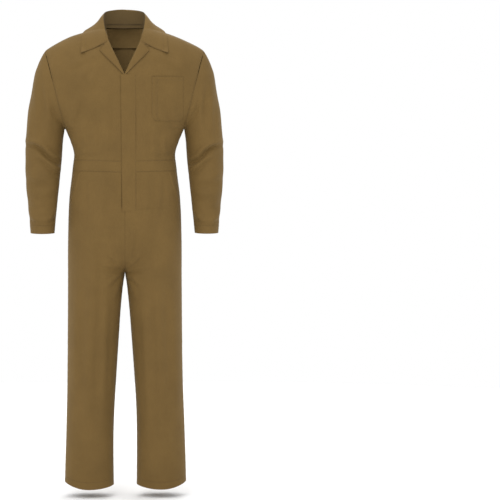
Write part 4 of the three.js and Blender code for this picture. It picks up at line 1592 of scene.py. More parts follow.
@dataclass
class Bodice:
    """Fronts, back, side backs with their action pleats, and the neck facing.

    Attributes:
        fly_root: Distance of the left front's edge from the centre.
        under_fly: Distance of the right front's edge from the centre.
        pleat_depth: How far the side back runs in under the pleat.
        pleat_sink: How deep it lies there.
        fold_edge: Radius of the pleat's folded edge.
        fly_end: Height at which the fronts start to run in to the V.
    """

    shop: Workshop
    fly_root: float = 37.5 * MM
    under_fly: float = 10.5 * MM
    pleat_depth: float = 26 * MM
    pleat_sink: float = 2.6 * MM
    fold_edge: float = 2.4 * MM
    fly_end: float = V_HEIGHT - 12 * MM

    def front_inner(self, hand: int) -> Callable[[Array], Array]:
        """The inner edge of a front."""
        edge = self.fly_root if hand > 0 else self.under_fly
        return lambda h: np.maximum(self.shop.form.neck_edge(h),
            edge * (1 - smooth((h - self.fly_end) / 0.010)))

    def rows(self) -> Array:
        """Heights of the rows from the waistband to the shoulder. Returns: the values of up."""
        low = spaced(0, 1, 0.108, near=(0,))
        middle = 1 + spaced(0, 1, 0.182)[1:]
        top = 2 + (1 - np.power(1 - np.linspace(0, 1, 52), 2.2))[1:]
        return np.concatenate([low, middle, top])

    def front(self, hand: int) -> bpy.types.Object:
        """One front, with its edge turned back onto the zip tape.

        Args:
            hand: 1 for the wearer's left, -1 for the right.

        Returns:
            The piece.
        """
        shop, form = self.shop, self.shop.form
        inner = self.front_inner(hand)
        us = spaced(0, 1, 0.19, near=(0, 1))
        seams = lambda p: edges(p, bottom=0.2,
            top=0.25) + [(walk(p, 1)[:, -1:] - walk(p, 1), 0.6 * form.seam_fade(p[..., 2]))]
        grid = Grid.over(
            lambda u, v: form.bodice_point(u, v, -1, inner), us, self.rows(), hand,
            finish=shop.worn(BODICE_FOLDS, seams),
        )
        shop.shaded(grid, seams(grid.points))
        # Painted shadow cast by the collar's gorge edge onto the front.
        shop.shaded(grid, [(from_line(grid.points, Collar.gorge), 0.75)], 2.0 * MM)
        turned = Closure.turn_back(grid, hand, shop.sizes)
        side = SIDES[hand]
        line = grid.lifted(STITCH_RISE)
        columns = len(us)
        shop.stitcher.add(TORSO, line.line(column=1 - 4 / columns), line.line(row=1 - 0.018))
        return shop.make(f"{side}_front", turned, TORSO, [f"{side}_front_bodice"])

    def back_surface(self, u: Array, v: Array) -> Array:
        """Points of the centre back.

        Args:
            u: -1 at the right pleat, 1 at the left.
            v: 0 at the waistband to 3 at the shoulder.

        Returns:
            The points.
        """
        form = self.shop.form
        edge = form.bodice_point(np.zeros_like(v), v, 1, form.pleat)
        x = edge[..., 0] * u
        flat = np.where(v <= 1, mix(form.waist_top(x, 1), form.sizes.underarm, np.clip(v, 0, 1)),
            edge[..., 2])
        top = form.shoulder_height(np.maximum(np.abs(x), NECK_HALF))
        h = np.where(v <= 2, flat, mix(V_HEIGHT, top, v - 2))
        return stack(x, form.bodice_y(x, h, 1), h)

    def centre_back(self) -> bpy.types.Object:
        """The centre back between the two pleats. Returns: the piece."""
        shop = self.shop
        us = spaced(-1, 1, 0.33, near=(-1, 1))
        seams = lambda p: edges(p, bottom=0.4, top=0.5)

        def finish(p: Array, n: Array) -> Array:
            """Lift of the centre back, rolled down at the pleats.

            Args:
                p: Points.
                n: Normals.

            Returns:
                The lift.
            """
            side = Grid(p, n, p[..., :2]).edge_distance(True, True, False, False)
            roll = np.clip(side / self.fold_edge, 0, 1)
            plain = shop.worn(BODICE_FOLDS, seams)(p, n)
            return plain + 0.0012 - self.fold_edge * (1 - fullness(1 - roll, 1, 2)) * 0.7

        grid = Grid.over(self.back_surface, us, self.rows(), finish=finish, flip=True)
        shop.shaded(grid, seams(grid.points))
        piece = shop.make("centre_back", grid, TORSO, ["centre_back"])
        line = grid.lifted(STITCH_RISE)
        for share in (0.035, 0.965):
            shop.stitcher.add(TORSO, line.line(column=share))
        return piece

    def side_back(self, hand: int) -> bpy.types.Object:
        """One side back, from under the pleat to the side seam and armhole.

        Args:
            hand: 1 for the wearer's left, -1 for the right.

        Returns:
            The piece.
        """
        shop, form = self.shop, self.shop.form

        def surface(u: Array, v: Array) -> Array:
            """Points of the panel.

            Args:
                u: 0 under the pleat, 1 outside.
                v: 0 to 3 upwards.

            Returns:
                The points.
            """
            edge_in = form.bodice_point(np.zeros_like(v), v, 1, form.pleat)
            edge_out = form.bodice_point(np.ones_like(v), v, 1, form.pleat)
            x = mix(edge_in[..., 0] - self.pleat_depth, edge_out[..., 0], u)
            low = mix(form.waist_top(x, 1), form.sizes.underarm, np.clip(v, 0, 1))
            flat = np.where(v <= 1, low, edge_in[..., 2])
            h = np.where(v <= 2, flat, mix(V_HEIGHT, form.shoulder_height(x), v - 2))
            under = 1 - smooth((x - edge_in[..., 0] - 0.002) / 0.012)
            y = form.bodice_y(x, h, 1) - self.pleat_sink * under
            return stack(x, y, h)

        us = spaced(0, 1, 0.10, near=(0.27, 1))
        seams = lambda p: edges(p, bottom=0.3,
            top=0.25) + [(walk(p, 1)[:, -1:] - walk(p, 1), 0.5 * form.seam_fade(p[..., 2]))]
        grid = Grid.over(surface, us, self.rows(), hand, flip=True, finish=shop.worn(BODICE_FOLDS, seams))
        shop.shaded(grid, seams(grid.points))
        # Painted shadow beside the pleat's folded edge, just outside the pleat line.
        pleat = form.pleat(grid.points[..., 2])
        beyond = np.abs(grid.points[..., 0]) - pleat
        shop.shaded(grid, [(np.abs(beyond - 0.0005), 0.45)], 3.0 * MM)
        side = SIDES[hand]
        line = grid.lifted(STITCH_RISE)
        shop.stitcher.add(TORSO, line.line(column=1 - 5 / len(us)))
        return shop.make(f"{side}_side_back", grid, TORSO, [f"{side}_side_back"])

    def facing(self) -> bpy.types.Object:
        """The facing inside the back neck. Returns: the piece."""
        us, vs = np.linspace(-0.40, 0.40, 40), np.linspace(2.60, 2.985, 16)

        def surface(u: Array, v: Array) -> Array:
            """Points inside the back. Args: u: across. v: up. Returns: the points."""
            p = self.back_surface(u, v) - np.array([0, 2.2 * MM, 1.2 * MM])
            x, h = p[..., 0], p[..., 2]
            below = self.shop.form.shoulder_height(np.maximum(np.abs(x), NECK_HALF)) - h
            neck = NECK_BACK * fullness(np.minimum(np.abs(x), NECK_HALF), NECK_HALF, 2)
            return stack(x, np.minimum(p[..., 1], neck + 0.047 * (1 - np.exp(-below / 0.028))), h)

        grid = Grid.over(surface, us, vs, flip=True)
        # Painted shade along the facing's lower edge.
        self.shop.shaded(grid, edges(grid.points, bottom=0.3))
        return self.shop.make("neck_facing", grid, TORSO, ["neck_facing"], finish=Finish.INSIDE,
            slot="twill_inside")

    def build(self) -> None:
        """Make every panel of the bodice."""
        for hand in (1, -1):
            self.front(hand)
            self.side_back(hand)
        self.centre_back()
        self.facing()


# ---- Sleeves -------------------------------------------------------------------------------------


@dataclass
class Sleeve:
    """One sleeve with its cuff hem.

    Attributes:
        hand: 1 for the wearer's left, -1 for the right.
        split: Ring at which the upper sleeve ends.
        hem_thickness: Thickness of the turned hem.
    """

    shop: Workshop
    hand: int
    split: float = 2.37
    hem_thickness: float = 2.2 * MM

    def rings(self) -> Array:
        """Rings of the whole sleeve and cuff. Returns: the values of ring."""
        head = spaced(0, 1, 0.16, near=(0,))
        upper = spaced(1, 2, 0.12)[1:]
        rest = spaced(2, 5, 0.305, near=(5,))[1:]
        hem = spaced(5, 6, 0.03, near=(5, 6))[1:]
        return np.concatenate([head, upper, rest, hem])

    def build(self) -> None:
        """Make the upper sleeve, the lower sleeve and the cuff hem."""
        shop, form, side = self.shop, self.shop.form, SIDES[self.hand]
        rings = self.rings()
        turns = np.linspace(0, 1, 118)[:-1]
        turns = np.unique(np.concatenate([turns, [0.003, 0.006, 0.994, 0.997]]).round(6))

        def seams(p: Array) -> Seams:
            """The armhole, underarm and hem seams. Args: p: points. Returns: the seams."""
            up, around = walk(p, 0), walk(p, 1)
            whole = around[:, -1:] + np.linalg.norm(p[:, :1] - p[:, -1:], axis=-1)
            hem = np.abs(up - up[np.searchsorted(rings, 5 - 1e-6)])
            return [(up, 0.6 * form.seam_fade(p[..., 2])), (np.minimum(around, whole - around), 0.4),
                (hem, 0.2)]

        grid = Grid.over(
            form.sleeve_point, turns, rings, self.hand, closed=True, flip=True,
            finish=shop.worn(SLEEVE_FOLDS, seams),
        )
        shop.shaded(grid, seams(grid.points))
        hem_row = int(np.searchsorted(rings, 5 - 1e-6))
        cut_row = int(np.searchsorted(rings, self.split))
        upper, lower, cuff = grid.rows(0, cut_row + 1), grid.rows(cut_row, hem_row + 1), grid.rows(hem_row,
            len(rings))
        shoulder, elbow, forearm = shop.hold("shoulder", self.hand), shop.hold("elbow",
            self.hand), Hold(f"{side}_forearm")
        shop.make(f"{side}_upper_sleeve", upper, shoulder, [f"{side}_sleeve_head", f"{side}_upper_sleeve"])
        shop.make(f"{side}_lower_sleeve", lower, elbow, [f"{side}_elbow", f"{side}_lower_sleeve"])
        shop.make(f"{side}_cuff_hem", cuff.lifted(0.0002), forearm, [f"{side}_cuff"],
            thickness=self.hem_thickness)
        for hold, part, row in ((forearm, cuff, 0.10), (forearm, cuff, 0.93), (shoulder, upper, 0.045)):
            ring = part.lifted(STITCH_RISE).line(row=row)
            shop.stitcher.add(hold, np.concatenate([ring, ring[:1]]))


# ---- Trousers ------------------------------------------------------------------------------------


@dataclass
class Trousers:
    """Both legs, their hems and the waistband.

    Attributes:
        split: Height at which the upper part of each leg ends.
        band: Depth of the waistband.
        gather_inner: Where the elastic starts, from the centre.
        gather_outer: Where it ends.
        hem_thickness: Thickness of the turned hem.
        hem_rise: How much higher the hem is at the side than in front and behind.
    """

    shop: Workshop
    split: float = 0.560
    gather_inner: float = 0.134
    gather_outer: float = 0.168
    hem_thickness: float = 2.4 * MM
    hem_rise: float = 22 * MM

    @property
    def band(self) -> float:
        """Depth of the waistband."""
        return self.shop.sizes.band_top - self.shop.sizes.waist_seam

    def edge(self, hand: int, h: Array) -> Array:
        """Distance of the front edge from the centre: out beside the zip, at the centre below it."""
        root = Bodice.fly_root if hand > 0 else Bodice.under_fly
        return root * smooth((h - self.shop.sizes.zip_bottom - 0.006) / 0.012)

    def surface(self, hand: int) -> Callable[[Array, Array], Array]:
        """The surface of one half, from the hem (0) to the waist seam (1) and the band's top (2).

        Args:
            hand: 1 for the wearer's left, -1 for the right.

        Returns:
            The surface.
        """
        form = self.shop.form
        top = form.sizes.waist_seam
        power = form.POWER / 2

        def at(u: Array, v: Array) -> Array:
            """Points of one half. Args: u: 0 in front, 1 behind. v: 0 to 2 upwards. Returns: the points."""
            flat = top * np.clip(v, 0, 1)
            start = np.arcsin(np.clip(np.power(self.edge(hand, flat) / form.half_width(flat), power), 0,
                1)) / np.pi
            turn = mix(start, 1.0, u)
            front = turn < 0.5
            x = form.trouser_point(turn, np.full_like(turn, top))[..., 0]
            seam = np.where(front, form.waist_top(x, -1), form.waist_top(x, 1)) - self.band
            h = flat + (seam - top) * smooth((flat - 0.90) / (top - 0.90)) + self.band * np.clip(v - 1, 0, 1)
            p = form.trouser_point(turn, h)
            beside = np.square(np.cos(2 * np.pi * turn))
            rise = beside * np.where(p[..., 0] > (form.sizes.leg_outer + form.sizes.leg_inner) / 2,
                self.hem_rise, self.hem_rise / 2)
            return stack(p[..., 0], p[..., 1], h + rise * np.square(1 - np.clip(h / 0.20, 0, 1)))

        return at

    def columns(self) -> Array:
        """Values across one half, close at the front, side and back seams."""
        return spaced(0, 1, 0.56, near=(0, 0.5, 1))

    def leg(self, hand: int) -> None:
        """One half of the trousers, cut into front and back, upper and lower, with its hem.

        Args:
            hand: 1 for the wearer's left, -1 for the right.
        """
        shop, s, side = self.shop, self.shop.sizes, SIDES[hand]
        us = self.columns()
        hem, cut = s.hem_width / s.waist_seam, self.split / s.waist_seam
        vs = spaced(0, 1, s.waist_seam, near=(0, hem, cut, 1))
        middle = int(np.argmin(np.abs(us - 0.5)))
        hem_row, cut_row = int(np.argmin(np.abs(vs - hem))), int(np.argmin(np.abs(vs - cut)))

        def seams(p: Array) -> Seams:
            """The front, back, side, waist and hem seams. Args: p: points. Returns: the seams."""
            across, up = walk(p, 1), walk(p, 0)
            side_seam = np.abs(across - across[:, middle:middle + 1])
            hem_top = np.abs(up - up[hem_row:hem_row + 1])
            return edges(p, left=0.35, right=0.8, top=0.3) + [(side_seam, 0.5), (hem_top, 0.2)]

        grid = Grid.over(self.surface(hand), us, vs, hand, finish=shop.worn(TROUSER_FOLDS, seams))
        for column in (0, -1):  # the two halves lap a little at the centre seams
            x, h = grid.points[:, column, 0], grid.points[:, column, 2]
            x[(np.abs(x) < 4 * MM) & (h > CROTCH_HEIGHT)] = -0.3 * MM * hand
        shop.shaded(grid, seams(grid.points))
        hip, knee, shin = shop.hold("hip", hand), shop.hold("knee", hand), Hold(f"{side}_shin")
        for word, part in (("front", grid.columns(0, middle + 1)), ("back", grid.columns(middle, len(us)))):
            shop.make(
                f"{side}_{word}_seat_and_thigh", part.rows(cut_row, len(vs)), hip,
                [f"{side}_{word}_hip", f"{side}_{word}_fork", f"{side}_{word}_thigh"],
            )
            nodes = [f"{side}_{word}_shin"] + ([f"{side}_knee"] if word == "front" else [])
            shop.make(f"{side}_{word}_leg", part.rows(hem_row, cut_row + 1), knee, nodes)
        rim = grid.rows(0, hem_row + 1)
        closed = rim.columns(0, len(us) - 1)
        closed.closed = True
        shop.make(f"{side}_leg_hem", closed.lifted(0.0002), shin, [f"{side}_leg_hem"],
            thickness=self.hem_thickness)
        stitched = grid.lifted(STITCH_RISE)
        shop.stitcher.add(shin, stitched.rows(0, hem_row + 1).line(row=0.86))
        upper, lower = stitched.rows(cut_row, len(vs)), stitched.rows(hem_row, cut_row + 1)
        for hold, part in ((hip, upper), (knee, lower)):
            shop.stitcher.add(hold, part.points[:, middle + 5], part.points[:, 5 if hold is knee else -6])

    def waistband(self) -> None:
        """The waistband: two fronts and a back, gathered by its elastic."""
        shop, s = self.shop, self.shop.sizes
        vs = 1 + spaced(0, 1, self.band, near=(0, 1))

        def finish(p: Array, n: Array) -> Array:
            """Lift of the band, gathered over the elastic. Args: p: points. n: normals. Returns: the lift."""
            far = np.minimum(walk(p, 0), walk(p, 0)[-1:] - walk(p, 0))
            x = np.abs(p[..., 0])
            zone = (smooth((x - self.gather_inner + 0.006) / 0.008)
                    * (1 - smooth((x - self.gather_outer) / 0.008)))
            along = walk(p, 1)
            ripple = (np.sin(along / 0.00105 + 2.0 * np.sin(p[..., 2] * 60)) * 0.5
                      + np.sin(along / 0.0019 + 1.0) * 0.5)
            back = smooth(n[..., 1] * 3)
            gathers = 0.0011 * ripple * zone * back
            return shop.drape.unevenness(p) + gathers - 0.35 * SEAM_SINK * bump(far, SEAM_REACH) + 0.0003

        backs = []
        for hand in (1, -1):
            us = np.unique(np.concatenate([spaced(0, 0.5, 0.27, near=(0, 0.5)), np.linspace(0.5, 0.72, 110),
                spaced(0.72, 1, 0.15)]).round(6))
            middle = int(np.argmin(np.abs(us - 0.5)))
            grid = Grid.over(self.surface(hand), us, vs, hand, finish=finish)
            across = walk(grid.points, 1)
            side_seam = np.abs(across - across[:, middle:middle + 1])
            shop.shaded(grid, edges(grid.points, bottom=0.22, top=0.18) + [(side_seam, 0.4)])
            side = SIDES[hand]
            front = grid.columns(0, middle + 1)
            turned = Closure.turn_back(front, hand, s)
            shop.make(f"{side}_front_waistband", turned, TORSO, [f"{side}_front_waistband"],
                thickness=1.6 * MM)
            backs.append(grid.columns(middle, len(us)))
            line = grid.lifted(STITCH_RISE)
            shop.stitcher.add(TORSO, line.line(row=0.12), line.line(row=0.88))
        left, right = backs
        join = lambda a, b: np.concatenate([a, b[:, ::-1][:, 1:]], axis=1)
        whole = Grid(join(left.points, right.points), join(left.normals, right.normals), left.uv[:, :1],
            False, join(left.shade, right.shade))
        whole.uv = Grid.flatten(whole.points)
        shop.make("back_waistband", whole, TORSO, ["back_waistband"], thickness=1.6 * MM)

    def elastic(self, hand: int) -> None:
        """The elastic inside one side of the back band.

        Args:
            hand: 1 for the wearer's left, -1 for the right.
        """
        base = self.surface(hand)

        def surface(u: Array, v: Array) -> Array:
            """Points just inside the band. Args: u: across. v: up. Returns: the points."""
            p = base(u, v)
            middle = np.array([0.0, 0.0, 0.0])
            flat = (p - middle) * np.array([1, 1, 0])
            return p - unit(flat) * 4.0 * MM

        grid = Grid.over(surface, np.linspace(0.60, 0.71, 90), 1 + np.linspace(0.16, 0.84, 12), hand)
        ripple = 0.00035 * np.sin(walk(grid.points, 1) / 0.0007)
        name = f"{SIDES[hand]}_waist_elastic"
        self.shop.make(name, grid.lifted(ripple), TORSO, [name], 1.4 * MM, Finish.RIB, "elastic")

    def build(self) -> None:
        """Make the trousers and the waistband."""
        for hand in (1, -1):
            self.leg(hand)
            self.elastic(hand)
        self.waistband()


# ---- Collar --------------------------------------------------------------------------------------


@dataclass
class Collar:
    """The notched collar: leaf, stand and lapels.

    Attributes:
        gorge: Ends of the open gorge line, as distance from the centre and height.
        roll: Points of the roll line from the gorge to the centre back.
        seam: Points of the neck seam.
        edge: Points of the leaf's outer edge.
        rise: Lift of the leaf off the chest.
        thickness: Thickness of the two layers.
        notch: Height of the lapel's upper corner.
        reach: Distance of that corner from the centre.
        neck_line: Height above the stand's lower edge of a painted shade line, drawn where the neck seam
            shows.
    """

    shop: Workshop
    gorge: ClassVar[tuple] = ((0.069, 1.520), (0.146, 1.4925))
    roll: tuple = ((0.060, -0.079, 1.527), (0.067, -0.052, 1.580), (0.071, -0.012, 1.620),
        (0.058, 0.044, 1.640), (0, 0.070, 1.647))
    seam: tuple = ((0.055, -0.076, 1.527), (0.062, -0.046, 1.566), (0.068, 0, 1.579), (0.054, 0.042, 1.582),
        (0, 0.062, 1.582))
    edge: tuple = ((0.148, -0.104, 1.492), (0.145, -0.056, 1.549), (0.131, -0.004, 1.575),
        (0.101, 0.052, 1.579), (0, 0.083, 1.591))
    rise: float = 3.4 * MM
    thickness: float = 2.2 * MM
    notch: float = 1.499
    reach: float = 0.085
    neck_line: float = 12 * MM

    @staticmethod
    def along(points: tuple, share: Array) -> Array:
        """Follow one of the collar's lines.

        Args:
            points: Its points from the gorge to the centre back.
            share: -1 at the wearer's right gorge, 0 at the centre back, 1 at the left gorge.

        Returns:
            Points of the line.
        """
        left = np.array(points, float)
        both = np.concatenate([left[:-1] * [-1, 1, 1], left[::-1]])
        gaps = np.concatenate([[0], np.cumsum(np.sqrt(np.linalg.norm(np.diff(both, axis=0), axis=-1)))])
        spots = gaps / gaps[-1] * 2 - 1
        even = np.linspace(-1, 1, len(both))
        at = np.interp(share, even, spots)
        return stack(*(through(list(zip(spots, both[:, k])), at) for k in range(3)))

    def leaf_surface(self, u: Array, v: Array) -> Array:
        """Points of the leaf.

        Args:
            u: -1 at the right gorge to 1 at the left.
            v: 0 at the outer edge, 1 at the roll.

        Returns:
            The points.
        """
        form = self.shop.form
        fall = 1 - v
        roll, edge = self.along(self.roll, u), self.along(self.edge, u)
        p = mix(roll, edge, fall[..., None])
        out = unit(edge - roll)
        lift = unit(np.cross(np.cross(out, np.array([0.0, 0.0, 1.0])), out) + 1e-9)
        swell = (0.0050 * np.sqrt(np.clip(fall, 0, 1)) * (1 - fall) ** 3
                 - 0.0035 * np.sin(np.pi * fall) * smooth(fall * 2))
        p = p + lift * swell[..., None]
        below = form.shoulder_height(p[..., 0]) - p[..., 2]
        gap = self.rise * np.minimum(1, 4 * fall) + 0.004 * smooth(1 - below / 0.060)
        chest = form.bodice_y(p[..., 0], p[..., 2], -1) - gap
        y = np.where((below > 0) & (p[..., 1] < 0), np.minimum(p[..., 1], chest), p[..., 1])
        return stack(p[..., 0], y, p[..., 2])

    def leaf(self) -> bpy.types.Object:
        """The leaf of the collar. Returns: the piece."""
        shop = self.shop
        us = spaced(-1, 1, 0.46, near=(-1, 1))
        vs = 1 - np.power(np.linspace(1, 0, 26), 1.6)
        grid = Grid.over(self.leaf_surface, us, vs, finish=lambda p, n: 0.6 * shop.drape.unevenness(p),
            flip=True)
        far = grid.edge_distance(True, True, True, False)
        grid = grid.lifted(-0.0009 * bump(far, 1.2 * MM))
        # Painted shadow along the gorge edges, and a faint line of it along the outer edge.
        shop.shaded(grid, edges(grid.points, left=0.8, right=0.8, bottom=0.12), 1.3 * MM)
        piece = shop.make("collar_leaf", grid, TORSO, ["collar_leaf"], thickness=self.thickness)
        line = grid.lifted(STITCH_RISE)
        inside = line.columns(5, len(us) - 5)
        shop.stitcher.add(TORSO, inside.line(row=0.12), line.columns(4, len(us)).line(column=0)[3:-3],
            line.columns(0, len(us) - 4).line(column=1)[3:-3])
        return piece

    def stand(self) -> bpy.types.Object:
        """The stand inside the collar. Returns: the piece."""
        us, vs = np.linspace(-1, 1, 110), np.linspace(0, 1, 16)

        def surface(u: Array, v: Array) -> Array:
            """Points of the stand.

            Args:
                u: Round the neck.
                v: 0 at the seam, 1 at the roll.

            Returns:
                The points.
            """
            p = mix(self.along(self.seam, u), self.along(self.roll, u), v[..., None])
            inward = unit(stack(p[..., 0], p[..., 1] + 0.010, 0)) * 1.6 * MM * (1 - 0.9 * v[..., None])
            return p - inward

        grid = Grid.over(surface, us, vs, flip=False)
        shop = self.shop
        # A painted shade line for the neck seam, drawn above the stand's real lower edge.
        shop.shaded(grid, [(np.abs(walk(grid.points, 0) - self.neck_line), 0.9)], 1.5 * MM)
        return shop.make("collar_stand", grid, TORSO, ["collar_stand"], finish=Finish.STAND,
            slot="twill_inside")

    def lapel(self, hand: int) -> bpy.types.Object:
        """One lapel, rolled back over the front.

        Args:
            hand: 1 for the wearer's left, -1 for the right.

        Returns:
            The piece.
        """
        shop, form, side = self.shop, self.shop.form, SIDES[hand]
        top = 1.536

        def surface(u: Array, v: Array) -> Array:
            """Points of the lapel.

            Args:
                u: 0 at the roll, 1 outside.
                v: 0 at the V, 1 at the gorge.

            Returns:
                The points.
            """
            roll_h, outer_h = mix(V_HEIGHT - 0.002, top, v), mix(V_HEIGHT, self.notch, v)
            x = mix(form.neck_edge(roll_h) - 0.0015, mix(0.004, self.reach, v), u)
            h = mix(roll_h, outer_h, u)
            turned = fullness(np.clip(1 - u * np.maximum(self.reach * v, 0.012) / 0.009, 0, 1), 1, 2)
            lift = self.rise * turned * (0.55 + 0.45 * u) + 0.0016 * (1 - u) * turned
            inside = 0.0034 * (1 - turned)
            return stack(x, form.bodice_y(x, h, -1) - lift + inside, h)

        us = np.unique(np.concatenate([np.power(np.linspace(0, 1, 30), 1.8), 1 - np.array([0.012, 0.03])]))
        vs = spaced(0, 1, 0.11, near=(0, 1))
        grid = Grid.over(surface, us, vs, hand, finish=lambda p, n: 0.6 * shop.drape.unevenness(p))
        far = grid.edge_distance(False, True, False, False)
        grid = grid.lifted(-0.0009 * bump(far, 1.2 * MM))
        # Painted shadow along the lapel's outer edge and under the collar's gorge edge, with a faint line at
        # its top.
        shop.shaded(grid, edges(grid.points, right=0.85, top=0.1), 1.4 * MM)
        shop.shaded(grid, [(from_line(grid.points, self.gorge), 0.75)], 2.0 * MM)
        line = grid.lifted(STITCH_RISE)
        shop.stitcher.add(TORSO, line.columns(0, len(us) - 4).line(column=1)[6:])
        return shop.make(f"{side}_lapel", grid, TORSO, [f"{side}_lapel"], thickness=1.8 * MM)

    def build(self) -> None:
        """Make the collar."""
        self.leaf()
        self.stand()
        for hand in (1, -1):
            self.lapel(hand)


# ---- Zip and fly ---------------------------------------------------------------------------------


@dataclass
class Closure:
    """The fly and the zip beneath it.

    Attributes:
        lap: How far the fly's free edge laps past the centre.
        lift: Height of its free edge above the right front.
        tooth_pitch: Distance between teeth on one tape.
        tuck: How far a front's turned edge drops behind its fold.
        fold_depth: Depth of the rounded fold itself.
        tape_cover: How far from the centre the turned edge ends, on each side.
    """

    shop: Workshop
    lap: float = 13.5 * MM
    lift: float = 2.3 * MM
    tooth_pitch: float = 2.6 * MM
    tuck: ClassVar[float] = 11.0 * MM
    fold_depth: ClassVar[float] = 2.4 * MM
    tape_cover: ClassVar[dict[int, float]] = {1: 18.0 * MM, -1: 15.0 * MM}

    @staticmethod
    def turn_back(grid: Grid, hand: int, s: Sizes) -> Grid:
        """Turn a front's edge back onto its zip tape.

        Args:
            grid: The front; its first column is the edge.
            hand: 1 for the wearer's left, -1 for the right.
            s: Lengths read from the frame.

        Returns:
            The grid with the turned-back columns in front of the first.
        """
        p = grid.points[:, 0]
        beside_zip = 1 - smooth((p[:, 2] - s.zip_top) / (V_HEIGHT - s.zip_top))
        columns = []
        for share in np.linspace(1, 0, 9)[:-1]:
            fold = smooth(min(share * 2.2, 1.0))
            run = smooth((share - 0.25) / 0.75)
            x = mix(np.abs(p[:, 0]) - 0.4 * MM * fold, Closure.tape_cover[hand], run) * hand
            y = p[:, 1] + Closure.fold_depth * fold + (Closure.tuck - Closure.fold_depth) * run
            zipped = np.stack([x, y, p[:, 2]], -1)
            plain = p + np.array([-1.0 * MM * hand * share, 2.6 * MM * fold, 0])
            columns.append(mix(plain, zipped, beside_zip[:, None]))
        points = np.concatenate([np.stack(columns, 1), grid.points], 1)
        n = Grid.slopes(points, False) * hand
        reach = len(columns)
        normals = n.copy()
        normals[:, reach + 1:] = grid.normals[:, 1:]
        shade = grid.shade if grid.shade is not None else np.zeros(grid.points.shape[:2])
        shade = np.concatenate([np.zeros((len(p), reach)), shade], 1)
        return Grid(points, normals, Grid.flatten(points), False, shade)

    def front(self, h: Array) -> Array:
        """Depth of the centre front at a height."""
        s = self.shop.sizes
        return mix(-0.1165, -0.1226, (np.asarray(h) - s.zip_bottom) / (s.zip_top - s.zip_bottom))

    def fly(self) -> bpy.types.Object:
        """The fly. Returns: the piece."""
        shop, form, s = self.shop, self.shop.form, self.shop.sizes

        def surface(u: Array, v: Array) -> Array:
            """Points of the fly.

            Args:
                u: 0 at its free edge, 1 at its root.
                v: 0 to 1 upwards.

            Returns:
                The points.
            """
            h = mix(s.zip_bottom + 0.003, V_HEIGHT + 0.001, v)
            x = mix(-self.lap + 0.004 * (1 - v), Bodice.fly_root + 0.2 * MM, u)
            top_corner = 0.9 * MM * smooth((v - 0.96) / 0.03) * smooth((1 - u) / 0.1)
            lift = 0.15 * MM + self.lift * (1 - smooth(u * 1.1 - 0.1)) + top_corner
            depth = np.where(h <= form.sizes.waist_seam,
                -through(form.fronts, h) * fullness(np.abs(x), form.half_width(h), form.POWER),
                form.bodice_y(x, h, -1))
            return stack(x, depth - lift, h)

        us = spaced(0, 1, 0.051, near=(0, 1))
        vs = spaced(0, 1, 0.451, near=(0, 1))
        grid = Grid.over(surface, us, vs, finish=lambda p, n: shop.drape.unevenness(p))
        far = grid.edge_distance(True, False, True, True)
        grid = grid.lifted(-0.0008 * bump(far, 1.1 * MM))
        # Painted shadow along the fly's free edge, where it laps over the right front.
        shop.shaded(grid, edges(grid.points, left=0.55), 1.0 * MM)
        line = grid.lifted(STITCH_RISE)
        shop.stitcher.add(Hold("fly"), line.line(column=0.90))
        return shop.make("fly", grid, Hold("fly"), ["fly"], thickness=1.2 * MM)

    def on_zip(self, x: Array, y: Array, z: Array) -> Array:
        """Points of the zip in the suit's heights.

        Args:
            x: Across.
            y: Behind the tape's middle.
            z: Distance up from the zip's lower end.

        Returns:
            The points.
        """
        s = self.shop.sizes
        length = s.zip_top - s.zip_bottom
        lean = math.atan2(0.0061, length)
        z, y = np.asarray(z, float), np.asarray(y, float)
        return stack(
            x,
            self.front(s.zip_bottom) + 0.013 + y * math.cos(lean) - z * math.sin(lean),
            s.zip_bottom + y * math.sin(lean) + z * math.cos(lean),
        )

    def tape(self, hand: int) -> bpy.types.Object:
        """One zip tape, with a corded inner edge.

        Args:
            hand: 1 for the wearer's left, -1 for the right.

        Returns:
            The piece.
        """
        length = self.shop.sizes.zip_top - self.shop.sizes.zip_bottom

        def surface(u: Array, v: Array) -> Array:
            """Points of the tape. Args: u: across. v: up. Returns: the points."""
            cord = 0.0005 * bump(u - 0.04, 0.05)
            rib = 0.00012 * np.sin(v * length / 0.0016)
            return self.on_zip(mix(0.0040, 0.0175, u), -0.0006 - cord - rib, v * length)

        grid = Grid.over(surface, np.linspace(0, 1, 18), np.linspace(0, 1, 240), hand)
        name = f"{SIDES[hand]}_zip_tape"
        return self.shop.make(name, grid, TORSO, [name], 0.9 * MM, Finish.TAPE, "zip_tape")

